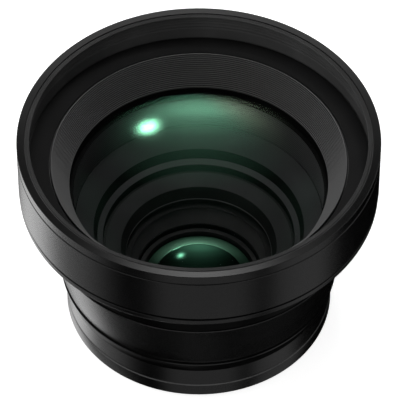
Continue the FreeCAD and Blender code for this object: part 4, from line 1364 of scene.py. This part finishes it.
@dataclass
class Studio:
    """The floor, the soft light above, a small lamp, the world and the camera. Sizes in metres."""

    floor: float = 6.0  # half the floor's width
    floor_glow: float = 0.86  # how much the floor adds to what the camera sees of it
    foot_shadow: Point = (0.0236, 0.0248)  # radii between which that begins, under the part's foot
    fill_left: float = 0.82  # brightness of the studio's left side as a soft fill
    fill_right: float = 0.1  # brightness of its right side
    wall_low: float = 0.42  # height of a direction at which the bright wall has faded, in the middle
    wall_high: float = 0.75  # that height at the sides
    wall_rest: float = 0.03  # brightness above the wall
    card_reach: Point = (-0.12, -0.3)  # heights of a direction between which the cards under the part come in
    card_height: float = 1.5  # height of the overhead soft light
    card_width: float = 0.8  # how far it reaches to each side
    card_narrow: float = 0.5  # how far at its front edge
    card_front: float = -0.02  # where it starts, towards the camera
    card_back: float = 1.2  # where it has faded out
    card_level: float = 7.0  # its brightness
    # Its brightness from the front (0) to the back (1).
    card_fall: tuple[Point, ...] = (
        (0.0, 1.0), (0.22, 0.97), (0.275, 0.8), (0.345, 0.35), (0.46, 0.13), (0.586, 0.055), (1.0, 0.0))
    lamp_place: Point = (0.252, 0.417)  # where the small lamp hangs
    lamp_height: float = 1.24
    lamp_long: float = 0.034  # how far its glow spreads along its length
    lamp_short: float = 0.019  # how far it spreads across
    lamp_level: float = 72.0  # its brightness in the middle
    camera_place: tuple[float, float, float] = (0.0, -0.4884, 0.5817)  # where the camera stands
    camera_aim: tuple[float, float, float] = (0.0, 0.0, 0.0295)  # the point that it looks at
    focal_length: float = 339.7
    shift: float = 0.003  # its sideways shift

    def sheet(self, name: str, low: Point, high: Point, level: float) -> tuple[bpy.types.Object, Graph]:
        """Lay or hang a level stage rectangle, with a material of its own.

        Args:
            name: Its name.
            low: Its lowest x and y, in metres.
            high: Its highest x and y.
            level: Its height.

        Returns:
            The rectangle and its material's graph.
        """
        points = [(x / MM, y / MM, level / MM) for y in (low[1], high[1]) for x in (low[0], high[0])]
        made = mesh_object(name, points, [(0, 1, 3, 2)])
        material, graph = new_material(f"{name}_finish")
        made.data.materials.append(material)
        return made, graph

    def build_floor(self) -> None:
        """Lay the pale floor: white to the camera, with the shadow kept."""
        floor, graph = self.sheet("floor", (-self.floor, -self.floor), (self.floor, self.floor), 0.0)
        x, y, _ = graph.place()
        path = graph.add("ShaderNodeLightPath", {}, {}, "Is Camera Ray")
        open_floor = spread(x, y).ramp(*self.foot_shadow)
        pale = graph.add("ShaderNodeBsdfDiffuse", {}, {"Color": (0.8, 0.8, 0.8, 1.0)})
        white = graph.glow(open_floor * path * self.floor_glow)
        graph.finish(graph.add("ShaderNodeAddShader", {}, {0: pale, 1: white}))
        floor.visible_glossy = False

    def build_soft_light(self) -> None:
        """Hang the soft light overhead, fading towards the back."""
        card, graph = self.sheet("soft_light", (-self.card_width, self.card_front), (self.card_width, self.card_back),
                                 self.card_height)
        x, y, _ = graph.place()
        across = ((x * x) ** 0.5).ramp(0.0, y.ramp(0.22, 0.46, self.card_narrow, self.card_width), 1.0, 0.0)
        along = graph.add("ShaderNodeValToRGB", {"stops": self.card_fall}, {0: y * (1.0 / self.card_back)})
        graph.finish(graph.glow(across * along * self.card_level))
        card.visible_camera = False

    def build_lamp(self) -> None:
        """Hang the small oval lamp whose soft image shows in the glasses."""
        middle_x, middle_y = self.lamp_place
        reach = 3.5 * self.lamp_long
        lamp, graph = self.sheet("small_lamp", (middle_x - reach, middle_y - reach),
                                 (middle_x + reach, middle_y + reach), self.lamp_height)
        x, y, _ = graph.place()
        along = (x - middle_x + (y - middle_y)) * (math.sqrt(0.5) / self.lamp_long)
        across = (x - middle_x - (y - middle_y)) * (math.sqrt(0.5) / self.lamp_short)
        fall = (along * along + across * across) * -0.5
        glow = graph.glow(graph.add("ShaderNodeMath", {"operation": "EXPONENT"}, {0: fall}) * self.lamp_level)
        graph.finish(graph.add("ShaderNodeAddShader", {}, {0: glow, 1: graph.clear()}))
        lamp.visible_camera = False

    def build_world(self) -> None:
        """Make the world: white to the camera, brighter on the left for metal and glass."""
        world = bpy.data.worlds.new("studio")
        world.use_nodes = True
        bpy.context.scene.world = world
        graph = Graph(world.node_tree)
        x, y, z = graph.split(graph.add("ShaderNodeTexCoord", {}, {}, "Generated"))
        camera = graph.add("ShaderNodeLightPath", {}, {}, "Is Camera Ray")
        glossy = camera.other("Is Glossy Ray")
        bearing = graph.add("ShaderNodeMath", {"operation": "ARCTAN2"}, {0: x, 1: y * -1.0}) * (90.0 / math.pi)
        cards: Any = 0.0
        for card in CARDS:
            cards = card.seen(bearing, z) + cards
        below = z.ramp(*self.card_reach) * cards
        wall = ((x * x) ** 0.5).ramp(0.15, 0.33, self.wall_low, self.wall_high)
        horizon = z.ramp(0.05, wall, 1.0, self.wall_rest) * z.ramp(-0.1, 0.02)
        fill = x.ramp(0.6, -0.6, self.fill_right, self.fill_left)
        seen = glossy * (horizon + below) + (1 - glossy) * fill
        level = camera + (1 - camera) * seen
        glow = graph.add("ShaderNodeBackground", {}, {"Color": WHITE, "Strength": level})
        graph.finish(glow, "ShaderNodeOutputWorld")

    def build_camera(self) -> None:
        """Set up the camera at the photograph's angle."""
        data = bpy.data.cameras.new("camera")
        data.sensor_width = 36.0
        data.lens = self.focal_length
        data.shift_x = self.shift
        data.clip_end = 50.0
        camera = bpy.data.objects.new("camera", data)
        camera.location = self.camera_place
        aim = Vector(self.camera_aim) - Vector(self.camera_place)
        camera.rotation_euler = aim.to_track_quat("-Z", "Y").to_euler()
        bpy.context.scene.collection.objects.link(camera)
        bpy.context.scene.camera = camera
        bpy.context.scene.view_settings.view_transform = "Standard"


def main() -> None:
    """Build the part from front to back, then its studio."""
    logging.basicConfig(level=logging.INFO, format="%(message)s")
    threads = thread_tree()
    front = FrontBarrel()
    front.build_ring()
    front.build_thread(threads)
    front.build_name_ring()
    baffle = Baffle()
    baffle.build_cone()
    baffle.build_ridges()
    baffle.build_retaining_ring()
    glass = FrontGlass()
    glass.build_element()
    glass.build_spacer()
    Barrel().build()
    inner = InnerBarrel()
    inner.build_barrel()
    inner.build_stepped_ring()
    MiddleGlass().build()
    cell = RearCell()
    cell.build_cell()
    cell.build_retaining_ring()
    cell.build_front_glass()
    cell.build_back_glass()
    mount = Mount()
    mount.build_ring()
    mount.build_thread(threads)
    mount.build_screws()
    mount.dress_nodes()
    studio = Studio()
    studio.build_floor()
    studio.build_soft_light()
    studio.build_lamp()
    studio.build_world()
    studio.build_camera()


if __name__ == "__main__":
    main()
